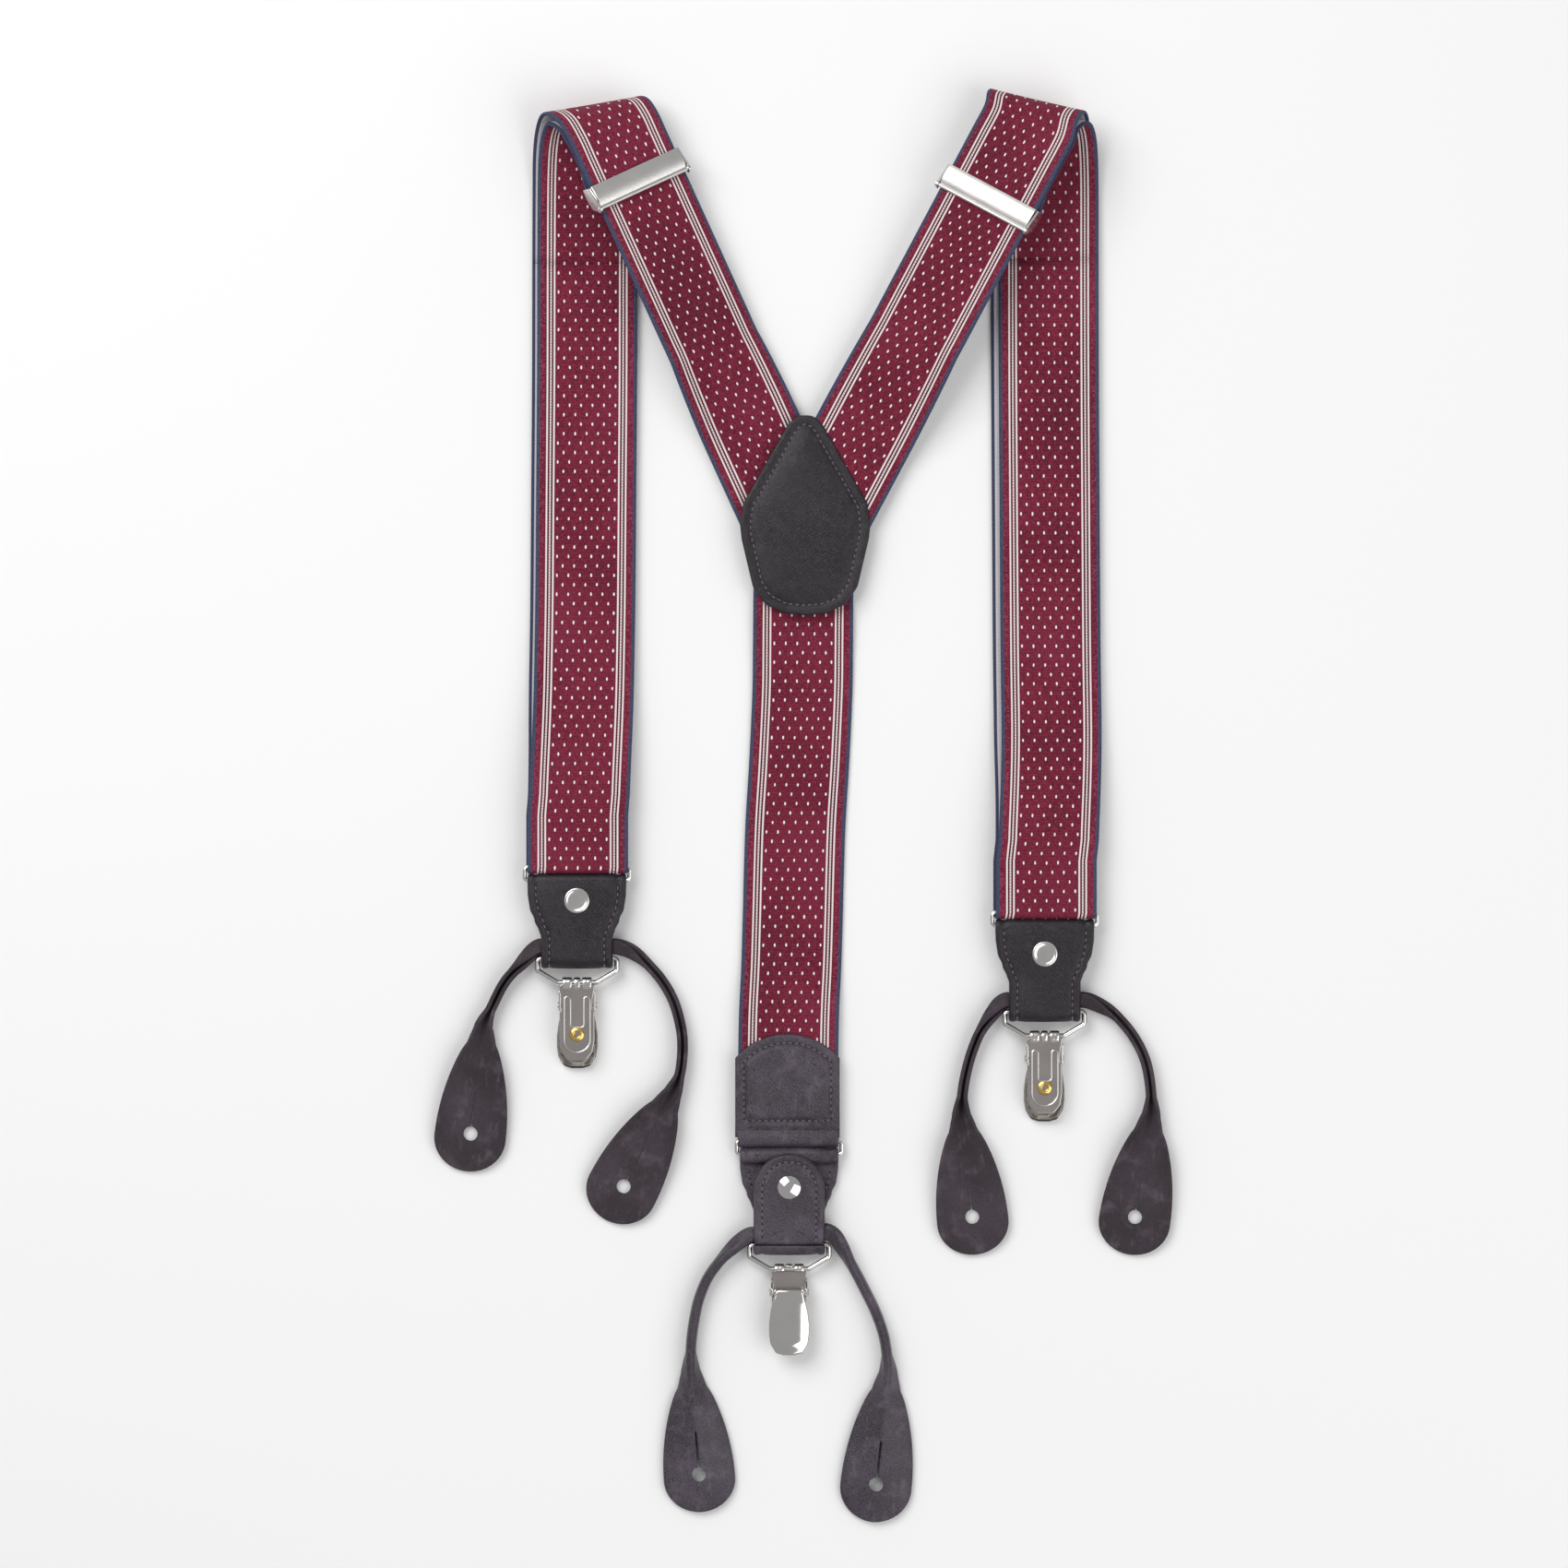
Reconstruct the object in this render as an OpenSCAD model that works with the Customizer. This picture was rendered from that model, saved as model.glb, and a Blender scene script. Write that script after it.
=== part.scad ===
// Y-back suspenders with convertible ends: each of the three ends has a metal
// clip on a snap-open leather flap, and a leather loop with two button holes.
// They lie on their front straps, so the back piece faces up. Units are mm.
// X runs across the wearer's back, +Y runs from the back clip to the shoulders,
// and +Z is up from the surface that the suspenders lie on.

/* [Webbing] */
// Width of the elastic webbing
strap_w = 35; // [30:1:38]
// Thickness of the elastic webbing
strap_t = 1.4; // [1.2:0.1:1.4]

/* [Leather] */
// Thickness of one ply of leather
ply_t = 1.05; // [0.9:0.05:1.05]
// Width of the narrow part of each end tab
tab_w = 25; // [22:0.5:25]
// Length of the snap flap, from its living hinge to its round end
flap_len = 31; // [28:1:31]
// Length of a button-hole ear
// Thickness of the leather of the button loops
ear_t = 1.4; // [1.2:0.1:1.6]
// Radius of the punched button hole
hole_r = 2.5; // [2:0.1:2.8]

/* [Hardware] */
// Diameter of the wire of the rings
ring_d = 1.5; // [1.2:0.1:1.6]
// Diameter of the wire of the clip bails
bail_d = 1.8; // [1.5:0.1:1.8]
// Radius of the snap cap
snap_r = 4.3; // [3.8:0.1:4.5]
// Width of the clip's front lever
lever_w = 14.4; // [13.4:0.2:15]
// Thickness of the sheet metal of the clips and adjusters
sheet_t = 0.8; // [0.6:0.1:0.8]

/* [Hidden] */
$fn = 48;
e = 0.01; // overlap that joins two shapes of one piece

// Clearances
run_gap = 0.1; // round a wire or pin that turns

// Places of the three ends: [x, y of the ring's upper bar, height of the ring,
// distance from the ring's lower bar to the bail bar, side the tab is on]
ring_pitch = 4.6; // between the two bars of a ring
front_ring_z = 6.3;
back_ring_z = 2.9;
LEFT_END = [-78.5, -20.6, front_ring_z, 27.3, 1];
RIGHT_END = [84.6, -36.4, front_ring_z, 30.1, 1];
BACK_END = [-4.5, -116.3, back_ring_z, 31.6, -1];
ENDS = ["left", "right", "back"];
PLACES = [LEFT_END, RIGHT_END, BACK_END];

// Stack through an end, measured from the ring's plane towards the tab
tab_t = 2 * ply_t;
fold_in_r = 1.5; // inside of the fold round the bail
fold_n = -1.4; // middle of the gap between tab and flap
fold_out_r = fold_in_r + tab_t;
tab_low = fold_n + fold_in_r;
tab_top = tab_low + tab_t;
flap_high = fold_n - fold_in_r;
flap_low = flap_high - tab_t;
snap_up = 20.3; // from the bail bar to the snap
bail_h = 8.4; // between the two bars of the bail

// Shoulder routes, from the front split to the back patch. Each station is
// [x, y, z, turn of the cross line about Z, its tilt, gap between the layers].
LEFT_RISE = [
    [-77.9, 4.6, 4.7, 0, 0, 3.2], [-77.4, 24, 3.3, 0, 0, 2.9], [-77, 46, 1.6, 0, 0, 2.3],
    [-76.6, 72, 0.85, 0, 0, 2], [-76.3, 110, 0.75, 0, 0, 1.9], [-76, 150, 0.75, 0, 0, 1.9],
    [-75.9, 190, 0.75, 0, 0, 1.9], [-75.8, 214, 1, 0, -1, 2.1], [-75.6, 230, 3.6, 2, -7, 2.8],
    [-74.8, 240, 7.2, 6, -15, 3.6], [-73.2, 244, 11.6, 11, -20, 3.8],
    [-69.2, 242.4, 16.2, 17, -22, 3.6], [-65.4, 236.4, 18.6, 22, -22, 2.8]
];
RIGHT_RISE = [
    [85.4, -11.2, 4.7, 0, 0, 3.2], [85.8, 8, 3.3, 0, 0, 2.9], [85.8, 30, 1.6, 0, 0, 2.3],
    [85.5, 56, 0.85, 0, 0, 2], [85.2, 100, 0.75, 0, 0, 1.9], [84.9, 150, 0.75, 0, 0, 1.9],
    [84.8, 192, 0.75, 0, 0, 1.9], [84.8, 216, 1, 0, 1, 2.1], [84.6, 231, 3.4, -2, 6, 2.8],
    [84, 241, 7.2, -8, 12, 3.6], [82.6, 245.4, 11.6, -14, 16, 3.8],
    [80.2, 243.6, 16.2, -20, 18, 3.6], [78.4, 237.4, 18.6, -25, 18, 2.8]
];
// The arms: [start x, start y, turn, tilt, length, level part's start, height at the patch]
arm_z = 18.5; // height of an arm where it leaves the fold
arm_fall = 0.1; // fall for each mm of arm
hard_run = 75; // length of the arm that stays straight and evenly tilted
LEFT_ARM = [-62, 229, 24.6, -22, 144, 108, 3.4];
RIGHT_ARM = [74.2, 229.4, -28.1, 18, 150, 113, 4.9];
LEFT_SLIDE = 11.7; // distance of the adjuster from the arm's start
RIGHT_SLIDE = 20;

// The centre strap, from under the patch to inside the end leather
CENTRE_ROUTE = [
    [0.8, 112, 1.9], [0.6, 90, 1.9], [0.4, 68, 1.9], [0.3, 54, 1.3], [0.1, 40, 0.8],
    [-1, 16, 0.75], [-2.4, -8, 0.75], [-3.3, -40, 0.8], [-3.8, -56, 1.2], [-4.4, -68, 2.4],
    [-4.7, -78, 2.85], [-4.9, -94, 2.9], [-5, -111, 2.9]
];

// Button loops, from the middle of the fold. For each cord: its points out to the
// neck of the ear, and the point at the ear's far end.
cord_w = 3;
cord_h = 5.4;
loop_up = 4; // from the bail bar to the middle of the button loop's fold
rod_r = 1.35; // the loop's fold, where it runs between tab and flap
LEFT_CORDS = [
    [[[-13.8, 0], [-20.5, -6.4], [-25.7, -13], [-29.5, -20.4], [-32.6, -27.5]], [-39, -78.5]],
    [[[13.8, 0], [20, -2.6], [27.5, -9], [33, -17.4], [35.9, -26.5], [36.8, -34.5], [36, -43.5],
        [33.5, -50.5]], [10, -95.5]]
];
RIGHT_CORDS = [
    [[[-13.8, 0], [-18, -3.8], [-22.3, -10.6], [-25.4, -18.2], [-27.4, -25.5], [-28.6, -32.5],
        [-29, -39.5]], [-23.7, -89]],
    [[[13.8, 0], [18.5, -1.8], [25, -5.6], [30.8, -12.2], [35.1, -20.7], [37, -30.5], [37.2, -39.5]],
        [29.8, -89]]
];
BACK_CORDS = [
    [[[-13.8, 0], [-20.8, -6], [-27.4, -14], [-31, -21.5], [-33, -29.5], [-34.2, -38.5], [-34.4, -47.5]],
        [-30.4, -97.5]],
    [[[13.8, 0], [18.2, -4.6], [22.7, -12.6], [27, -20.9], [30.6, -28.5], [33.4, -37.5], [34.6, -48.5]],
        [29, -101]]
];
CORDS = [LEFT_CORDS, RIGHT_CORDS, BACK_CORDS];
ear_w = 25;
ear_peak = 0.77; // where an ear is widest, as a share of its length
hole_up = 13.3; // from the ear's far end to its button hole
slit_len = 15;
slit_w = 0.6;

// Colours
burgundy = [0.42, 0.1, 0.17];
black = [0.1, 0.09, 0.1];
nickel = [0.8, 0.8, 0.8];
brass = [0.85, 0.65, 0.25];
clear_pad = [0.85, 0.85, 0.8];

// ---------- curves ----------

function unit(v) = v / norm(v);

function last(list) = list[len(list) - 1];

// A point on a Catmull-Rom curve between b and c
function between(a, b, c, d, t) =
    0.5 * (2 * b + (c - a) * t + (2 * a - 5 * b + 4 * c - d) * t * t + (3 * b - a - 3 * c + d) * t * t * t);

// The smooth curve through a list of stations, with n steps in each stretch
function smooth(p, n) = concat(
    [for (i = [0:len(p) - 2]) for (k = [0:n - 1])
        between(p[max(i - 1, 0)], p[i], p[i + 1], p[min(i + 2, len(p) - 1)], k / n)],
    [last(p)]);

// Direction of a route at sample i
function heading(r, i) =
    let (a = r[max(i - 1, 0)], b = r[min(i + 1, len(r) - 1)])
    unit([b[0] - a[0], b[1] - a[1], b[2] - a[2]]);

// The cross line of a strap that is turned about Z and tilted
function cross_line(turn, tilt) = [cos(turn) * cos(tilt), sin(turn) * cos(tilt), sin(tilt)];

// Stations of an arm, from the fold to the patch
function arm(a) =
    let (dir = [sin(a[2]), -cos(a[2])], low = a[6], far = a[5])
    [for (s = [0, 4, 8, 12, 20, 32, 46, 60, hard_run, 92, far, 0.5 * (far + a[4]), a[4]])
        let (fade = s <= hard_run ? 1 : max(0, 1 - (s - hard_run) / (far - hard_run)))
        [a[0] + s * dir[0], a[1] + s * dir[1],
            s <= hard_run ? arm_z - arm_fall * s : low + (arm_z - arm_fall * hard_run - low) * fade,
            a[2], a[3] * fade, 1.75]];

// ---------- swept straps ----------

// Four corners of a strap's cross section at each sample, set back by the gap
function strap_rings(r, back) = [
    for (i = [0:len(r) - 1])
        let (p = [r[i][0], r[i][1], r[i][2]],
            b = cross_line(r[i][3], r[i][4]),
            n = unit(cross(heading(r, i), b)),
            c = p - n * r[i][5] * back)
        [c - b * strap_w / 2 - n * strap_t / 2, c + b * strap_w / 2 - n * strap_t / 2,
            c + b * strap_w / 2 + n * strap_t / 2, c - b * strap_w / 2 + n * strap_t / 2]];

module skin(rings) {
    m = len(rings[0]);
    count = len(rings);
    points = [for (ring = rings) for (p = ring) p];
    sides = [for (i = [0:count - 2]) for (k = [0:m - 1]) for (half = [0, 1])
        let (a = i * m + k, b = i * m + (k + 1) % m)
        half == 0 ? [a, b, b + m] : [a, b + m, a + m]];
    ends = [[for (k = [m - 1:-1:0]) k], [for (k = [0:m - 1]) (count - 1) * m + k]];
    polyhedron(points, concat(sides, ends));
}

module shoulder_webbing(rise, a) {
    skin(strap_rings(smooth(concat(rise, arm(a)), 3), 0));
}

// The doubled inner layer, which stops short of the adjuster
module tail_webbing(rise, a) {
    skin(strap_rings(smooth(concat(rise, [arm(a)[0]]), 3), 1));
}

module centre_webbing() {
    color(burgundy)
        skin(strap_rings(smooth([for (p = CENTRE_ROUTE) [p[0], p[1], p[2], 0, 0, 0]], 3), 0));
}

// ---------- helpers for solids ----------

// A bar along X, centred
module x_bar(r, length) {
    rotate([0, 90, 0]) cylinder(r = r, h = length, center = true);
}

// A shape drawn in the Y-Z plane, given a width along X
module x_slab(width) {
    translate([-width / 2, 0, 0]) rotate([90, 0, 90]) linear_extrude(width) children();
}

// A closed loop of wire round a convex outline, given anticlockwise. The bends
// are a hair thicker than the straights, which run a little way into them.
module wire_loop(outline, bend, r) {
    n = len(outline);
    lap = 0.1;
    for (i = [0:n - 1]) {
        here = outline[i];
        next = outline[(i + 1) % n];
        before = unit(here - outline[(i + n - 1) % n]);
        after = unit(next - here);
        beyond = unit(outline[(i + 2) % n] - next);
        turn = acos(before * after);
        way = atan2(before[1], before[0]);
        start = here + after * (bend * tan(turn / 2) - lap);
        stop = next - after * (bend * tan(acos(after * beyond) / 2) - lap);
        centre = here - before * bend * tan(turn / 2) + bend * [-before[1], before[0]];
        translate(centre) rotate([0, 0, way - 90]) rotate_extrude(angle = turn)
            translate([bend, 0]) circle(r = r + 0.02);
        translate(start) rotate([0, 90, way + turn]) cylinder(r = r, h = norm(stop - start));
    }
}

// Half of a round shell, open towards +Y
module half_shell(r_in, r_out) {
    difference() {
        circle(r = r_out);
        circle(r = r_in);
        translate([0, -2 * r_out]) square([4 * r_out, 4 * r_out]);
    }
}

// ---------- webbing loop at the foot of a front strap ----------

end_run = 25; // length of the doubled webbing that moves with a front end

module webbing_end(place) {
    in_r = ring_d / 2 + 0.15;
    color(burgundy)
        translate([place[0], place[1], place[2]]) x_slab(strap_w) {
            half_shell(in_r, in_r + strap_t);
            for (low = [in_r, -in_r - strap_t])
                translate([-e, low]) square([end_run + e, strap_t]);
        }
}

// ---------- back patch ----------

// Outline of the patch, about the middle of its widest line
module patch_shape() {
    half = [[4.5, 35], [21.5, 4.5], [22.6, -3.5], [22.3, -7], [18.3, -25], [14.5, -30.2], [7, -33.2]];
    other = [for (i = [len(half) - 1:-1:0]) [-half[i][0], half[i][1]]];
    polygon(concat(half, other));
}

module patch(z) {
    color(black) translate([1.1, 101.8, z]) linear_extrude(ply_t) patch_shape();
}

// ---------- leather end of the centre strap ----------

dome_w = 36.5;
dome_len = 37.4; // from the ring bar to the top of the dome
dome_rise = 8.5;

module dome_shape() {
    arc_r = (pow(dome_w / 2, 2) + pow(dome_rise, 2)) / (2 * dome_rise);
    intersection() {
        translate([-dome_w / 2, 1.3]) square([dome_w, dome_len]);
        translate([0, dome_len - arc_r]) circle(r = arc_r, $fn = 96);
    }
}

module back_end_leather() {
    in_r = ring_d / 2 + run_gap;
    gap = strap_t / 2 + run_gap;
    color(black) translate([BACK_END[0], BACK_END[1], BACK_END[2]]) {
        for (low = [gap, -gap - ply_t])
            translate([0, 0, low]) linear_extrude(ply_t) {
                translate([-0.6, 0]) dome_shape();
                translate([-strap_w / 2, 0]) square([strap_w, 2]);
            }
        x_slab(strap_w) half_shell(in_r, in_r + ply_t);
    }
}

// ---------- rings ----------

// A flat wire loop whose upper bar lies on the X axis
module ring() {
    half = strap_w / 2 + run_gap + ring_d / 2;
    color(nickel)
        wire_loop([[half, -ring_pitch], [half, 0], [-half, 0], [-half, -ring_pitch]], 1.2, ring_d / 2);
}

// ---------- leather end tab and its snap flap ----------
// Origin: the ring's lower bar. run is the distance down to the bail bar.

tab_wide = 34.4; // width of the tab at the ring
turn_in = 3.2; // length of the tab's top that is turned in behind the ring's bar

module tab_shape(run) {
    top = tab_wide / 2;
    low = tab_w / 2;
    half = [[top, -1.6], [top, -5], [top - 0.7, -9.5], [top - 2.4, -14], [low + 0.8, -17.6],
        [low, -19.4], [low, -run]];
    other = [for (i = [len(half) - 1:-1:0]) [-half[i][0], half[i][1]]];
    polygon(concat(half, other));
}

// Section of the tab's top, round the ring's bar
module tab_top_section() {
    in_r = ring_d / 2 + run_gap;
    mirror([1, 0]) half_shell(in_r, in_r + ply_t);
    translate([-turn_in, in_r]) square([turn_in + e, ply_t]);
    translate([-turn_in, -in_r - ply_t]) square([turn_in + e, ply_t]);
    translate([-turn_in, -in_r - ply_t]) square([ply_t, 2 * in_r + ply_t + e]);
}

module tab(run) {
    color(black) difference() {
        union() {
            x_slab(tab_wide) tab_top_section();
            translate([0, 0, tab_low]) linear_extrude(tab_t) tab_shape(run);
            translate([0, -run, fold_n]) x_slab(tab_w) half_shell(fold_in_r, fold_out_r);
        }
        translate([0, -run + snap_up, 0]) cylinder(r = 1.3, h = 20, center = true);
    }
}

// Origin: the bail bar
flap_axis_y = tab_t / 2 + 0.15;
flap_axis_n = flap_low + tab_t / 2;

module flap() {
    color(black) difference() {
        union() {
            translate([0, flap_axis_y, flap_axis_n]) x_bar(tab_t / 2, tab_w - 0.4);
            translate([0, flap_axis_y, flap_low]) linear_extrude(tab_t) {
                translate([-tab_w / 2 + 0.2, 0]) square([tab_w - 0.4, flap_len - tab_w / 2]);
                translate([0, flap_len - tab_w / 2]) circle(r = tab_w / 2 - 0.2);
            }
        }
        translate([0, snap_up, 0]) cylinder(r = 1.3, h = 20, center = true);
    }
}

// Cap on the outside of the flap and socket on its inside
module snap_cap() {
    dome_h = 1.3;
    dome_r = (snap_r * snap_r + dome_h * dome_h) / (2 * dome_h);
    color(nickel) translate([0, snap_up, 0]) {
        intersection() {
            translate([0, 0, flap_low - dome_h + dome_r]) sphere(r = dome_r, $fn = 96);
            translate([0, 0, flap_low - dome_h]) cylinder(r = snap_r, h = dome_h);
        }
        translate([0, 0, flap_low - e]) cylinder(r = 1.2, h = tab_t + 2 * e);
        translate([0, 0, flap_high]) difference() {
            cylinder(r = 3.6, h = 1.2);
            translate([0, 0, 0.4]) cylinder(r = 1.7, h = 2);
        }
    }
}

// Stud on the inside of the tab, post and flat head on its outside
module snap_stud() {
    color(nickel) translate([0, snap_up, 0]) {
        translate([0, 0, tab_top]) cylinder(r = 4.5, h = 0.6);
        translate([0, 0, tab_low - e]) cylinder(r = 1.2, h = tab_t + 2 * e);
        translate([0, 0, tab_low - 0.6]) cylinder(r = 3.4, h = 0.6);
        translate([0, 0, tab_low - 2.3]) cylinder(r = 1.45, h = 1.7 + e);
    }
}

// ---------- bail and clip ----------

// A wire hexagon. Origin: its upper bar
module bail() {
    half = [[6.9, -bail_h], [13.9, -bail_h / 2], [13.9, 0]];
    other = [for (i = [2:-1:0]) [-half[i][0], half[i][1]]];
    color(nickel) wire_loop(concat(half, other), 1.2, bail_d / 2);
}

// Clip, with its origin at the bail's lower bar and its back plate towards +Z
pivot_y = -8;
pivot_n = -2.4;
pin_r = 0.75;
plate_low = bail_d / 2 + run_gap;
plate_end = -28;
jaw_y = -18; // the eyelet that holds the jaw pad

module jaw_shape(top, half_top, half_mid, end) {
    polygon([[-half_top, top], [half_top, top], [half_mid, -18], [half_mid, end + 6],
        [half_mid - 1.2, end + 2.6], [half_mid - 3.6, end], [-half_mid + 3.6, end],
        [-half_mid + 1.2, end + 2.6], [-half_mid, end + 6], [-half_mid, -18]]);
}

module clip_base() {
    ear_x = 5.6;
    color(nickel) difference() {
        union() {
            x_bar(plate_low + sheet_t, 10.4);
            translate([0, 0, plate_low]) linear_extrude(sheet_t) {
                translate([-5.2, -3]) square([10.4, 3]);
                jaw_shape(-2.6, ear_x + sheet_t, 6.3, plate_end);
            }
            for (s = [-1, 1]) translate([s * (ear_x + sheet_t / 2), 0, 0]) x_slab(sheet_t) {
                translate([-9.8, pivot_n + 0.4]) square([7.2, plate_low + sheet_t - pivot_n - 0.4]);
                translate([pivot_y, pivot_n]) circle(r = 1.5);
            }
        }
        x_bar(plate_low, 20);
        translate([0, pivot_y, pivot_n]) x_bar(pin_r + 0.05, 20);
        translate([0, jaw_y, 0]) cylinder(r = 1.25, h = 10);
    }
}

module clip_pad() {
    color(clear_pad) difference() {
        translate([0, 0, -1.1]) linear_extrude(plate_low + 1.1)
            jaw_shape(-14, 4.8, 4.8, plate_end + 1);
        translate([0, jaw_y, -2]) cylinder(r = 1.25, h = 10);
        for (y = [-21.5, -23.3, -25.1]) translate([0, y, -1.1]) x_bar(0.35, 20);
    }
}

module clip_eyelet() {
    color(brass) translate([0, jaw_y, 0]) difference() {
        union() {
            translate([0, 0, plate_low + sheet_t]) cylinder(r = 2.6, h = 0.5);
            translate([0, 0, -0.6]) cylinder(r = 1.2, h = plate_low + sheet_t + 0.6 + e);
        }
        translate([0, 0, -1]) cylinder(r = 0.7, h = 6);
    }
}

module clip_pin() {
    color(nickel) translate([0, pivot_y, pivot_n]) {
        x_bar(pin_r, 13.4);
        for (s = [-1, 1]) translate([s * 6.65, 0, 0]) x_bar(1.2, 0.4);
    }
}

module clip_lever() {
    outer = -4.9;
    color(nickel) difference() {
        union() {
            translate([0, 0, outer]) linear_extrude(sheet_t) {
                translate([-5.3, -10.3]) square([10.6, 3.6]);
                jaw_shape(-10.2, 6.4, lever_w / 2, -30);
            }
            translate([0, 0, outer]) linear_extrude(3.6)
                intersection() {
                    jaw_shape(-10.2, 6.4, lever_w / 2, -30);
                    translate([-lever_w, -30]) square([2 * lever_w, 1]);
                }
            for (s = [-1, 1]) translate([s * 4.8, 0, 0]) x_slab(0.8) {
                translate([pivot_y, pivot_n]) circle(r = 1.4);
                translate([pivot_y - 1.4, outer + e]) square([2.8, pivot_n - outer]);
            }
        }
        translate([0, pivot_y, pivot_n]) x_bar(pin_r + 0.05, 20);
    }
}

// ---------- button loops ----------

// Both sides of a 2D path, as one outline
function ribbon(p, w) =
    let (n = len(p),
        out = [for (i = [0:n - 1])
            let (d = unit(p[min(i + 1, n - 1)] - p[max(i - 1, 0)])) [-d[1], d[0]] * w / 2])
    concat([for (i = [0:n - 1]) p[i] + out[i]], [for (i = [n - 1:-1:0]) p[i] - out[i]]);

// Half width of an ear at a share t of its length
function ear_half(t) =
    ear_w / 2 * (t < ear_peak ? max(0.2, pow(sin(90 * t / ear_peak), 0.6))
        : sqrt(max(0, 1 - pow((t - ear_peak) / (1 - ear_peak), 2))));

// One ear, flat on the surface, running down from its neck at the origin
module ear(length) {
    steps = 28;
    side = [for (i = [0:steps]) [ear_half(i / steps), -length * i / steps]];
    other = [for (i = [steps - 1:-1:0]) [-side[i][0], side[i][1]]];
    difference() {
        linear_extrude(ear_t) polygon(concat(side, other));
        translate([0, -length + hole_up, -1]) cylinder(r = hole_r, h = ear_t + 2);
        translate([-slit_w / 2, -length + hole_up, -1]) cube([slit_w, slit_len, ear_t + 2]);
    }
}

module button_loop(i) {
    axis_z = loop_axis(i)[2];
    color(black) {
        translate([0, 0, axis_z]) x_bar(rod_r, 28.6);
        for (cord = CORDS[i]) {
            neck = last(cord[0]);
            d = cord[1] - neck;
            translate([0, 0, 0.4]) linear_extrude(cord_h)
                polygon(ribbon(smooth(cord[0], 4), cord_w));
            translate([neck[0], neck[1], 0]) rotate([0, 0, atan2(d[1], d[0]) + 90]) ear(norm(d));
        }
    }
}

// ---------- adjusters ----------
// Origin: the middle of the arm's thickness. -Y runs down the arm to the patch.

pinch_y = -3.9;
pinch_n = 1.9;
bar_y = 2.4;
bar_n = -3.3;
bar_r = 0.9;

module adjuster_frame() {
    inner = strap_w / 2 + 0.4;
    color(nickel) difference() {
        union() {
            for (s = [-1, 1]) translate([s * (inner + sheet_t / 2), 0, 0]) x_slab(sheet_t) {
                translate([pinch_y, pinch_n]) circle(r = 1.5);
                polygon([[pinch_y - 1.2, pinch_n - 0.6], [pinch_y + 1.3, pinch_n + 0.8], [4, 0.4],
                    [4.2, bar_n - 1], [0.4, bar_n - 1.2], [-3.4, bar_n]]);
            }
            translate([0, bar_y, bar_n]) x_bar(bar_r, 2 * inner + 2 * e);
            translate([0, -2.2, bar_n]) x_bar(0.8, 2 * inner + 2 * e);
        }
        translate([0, pinch_y, pinch_n]) x_bar(pin_r + 0.05, 2 * strap_w);
    }
}

module adjuster_lever() {
    half = strap_w / 2 + 0.2;
    color(nickel) {
        translate([0, pinch_y, pinch_n]) x_bar(pin_r, strap_w + 2.6);
        x_slab(2 * half) intersection() {
            difference() {
                translate([0, -7.6]) circle(r = 10.2, $fn = 96);
                translate([0, -7.6]) circle(r = 9.4, $fn = 96);
            }
            translate([-4.4, 0.9]) square([8.6, 4]);
        }
        x_slab(2 * half) translate([pinch_y - 0.5, 1.0]) square([0.9, 0.9]);
    }
}

// The sewn end of the tail, round the frame's bar
module tail_hem() {
    in_r = bar_r + run_gap;
    out_r = in_r + strap_t;
    low = in_r - 0.03;
    high = out_r - 0.03;
    color(burgundy) translate([0, bar_y, bar_n]) difference() {
        union() {
            x_bar(out_r, strap_w);
            x_slab(strap_w) polygon([[0, -high], [2.9, -high], [8.6, -0.2], [8.6, high], [0, high]]);
        }
        x_bar(in_r, strap_w + 1);
        x_slab(strap_w + 1) polygon([[0, -low], [2.9, -low], [7, low], [0, low]]);
    }
}

// Puts an adjuster piece on its arm
module on_arm(a, s) {
    u = [-sin(a[2]), cos(a[2]), arm_fall];
    b = cross_line(a[2], a[3]);
    n = unit(cross(-u, b));
    y = unit(u);
    x = cross(y, n);
    p = [a[0] + s * sin(a[2]), a[1] - s * cos(a[2]), arm_z - arm_fall * s];
    multmatrix([[x[0], y[0], n[0], p[0]], [x[1], y[1], n[1], p[1]], [x[2], y[2], n[2], p[2]]])
        children();
}

module adjuster_piece(part, a, s) {
    on_arm(a, s) {
        if (part == "adjuster_frame") adjuster_frame();
        if (part == "adjuster_lever") adjuster_lever();
        if (part == "tail_hem") tail_hem();
    }
}

// ---------- placing the pieces of an end ----------

// Where the bail bar of end i lies
function bail_point(i) =
    let (q = PLACES[i])
    [q[0], q[1] - ring_pitch - q[3], q[2] + q[4] * fold_n];

// Where the axis of the button loop of end i lies
function loop_axis(i) =
    let (b = bail_point(i)) [b[0], b[1] + loop_up, b[2]];

// Turns a stack that is drawn tab side up to the side that the end lies on
module side(i) {
    rotate([0, PLACES[i][4] > 0 ? 0 : 180, 0]) children();
}

module at_ring(i, y) {
    q = PLACES[i];
    translate([q[0], q[1] + y, q[2]]) side(i) children();
}

module at_bail(i) {
    q = PLACES[i];
    at_ring(i, -ring_pitch - q[3]) children();
}

module at_clip(i) {
    at_bail(i) translate([0, -bail_h, fold_n]) children();
}

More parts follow.
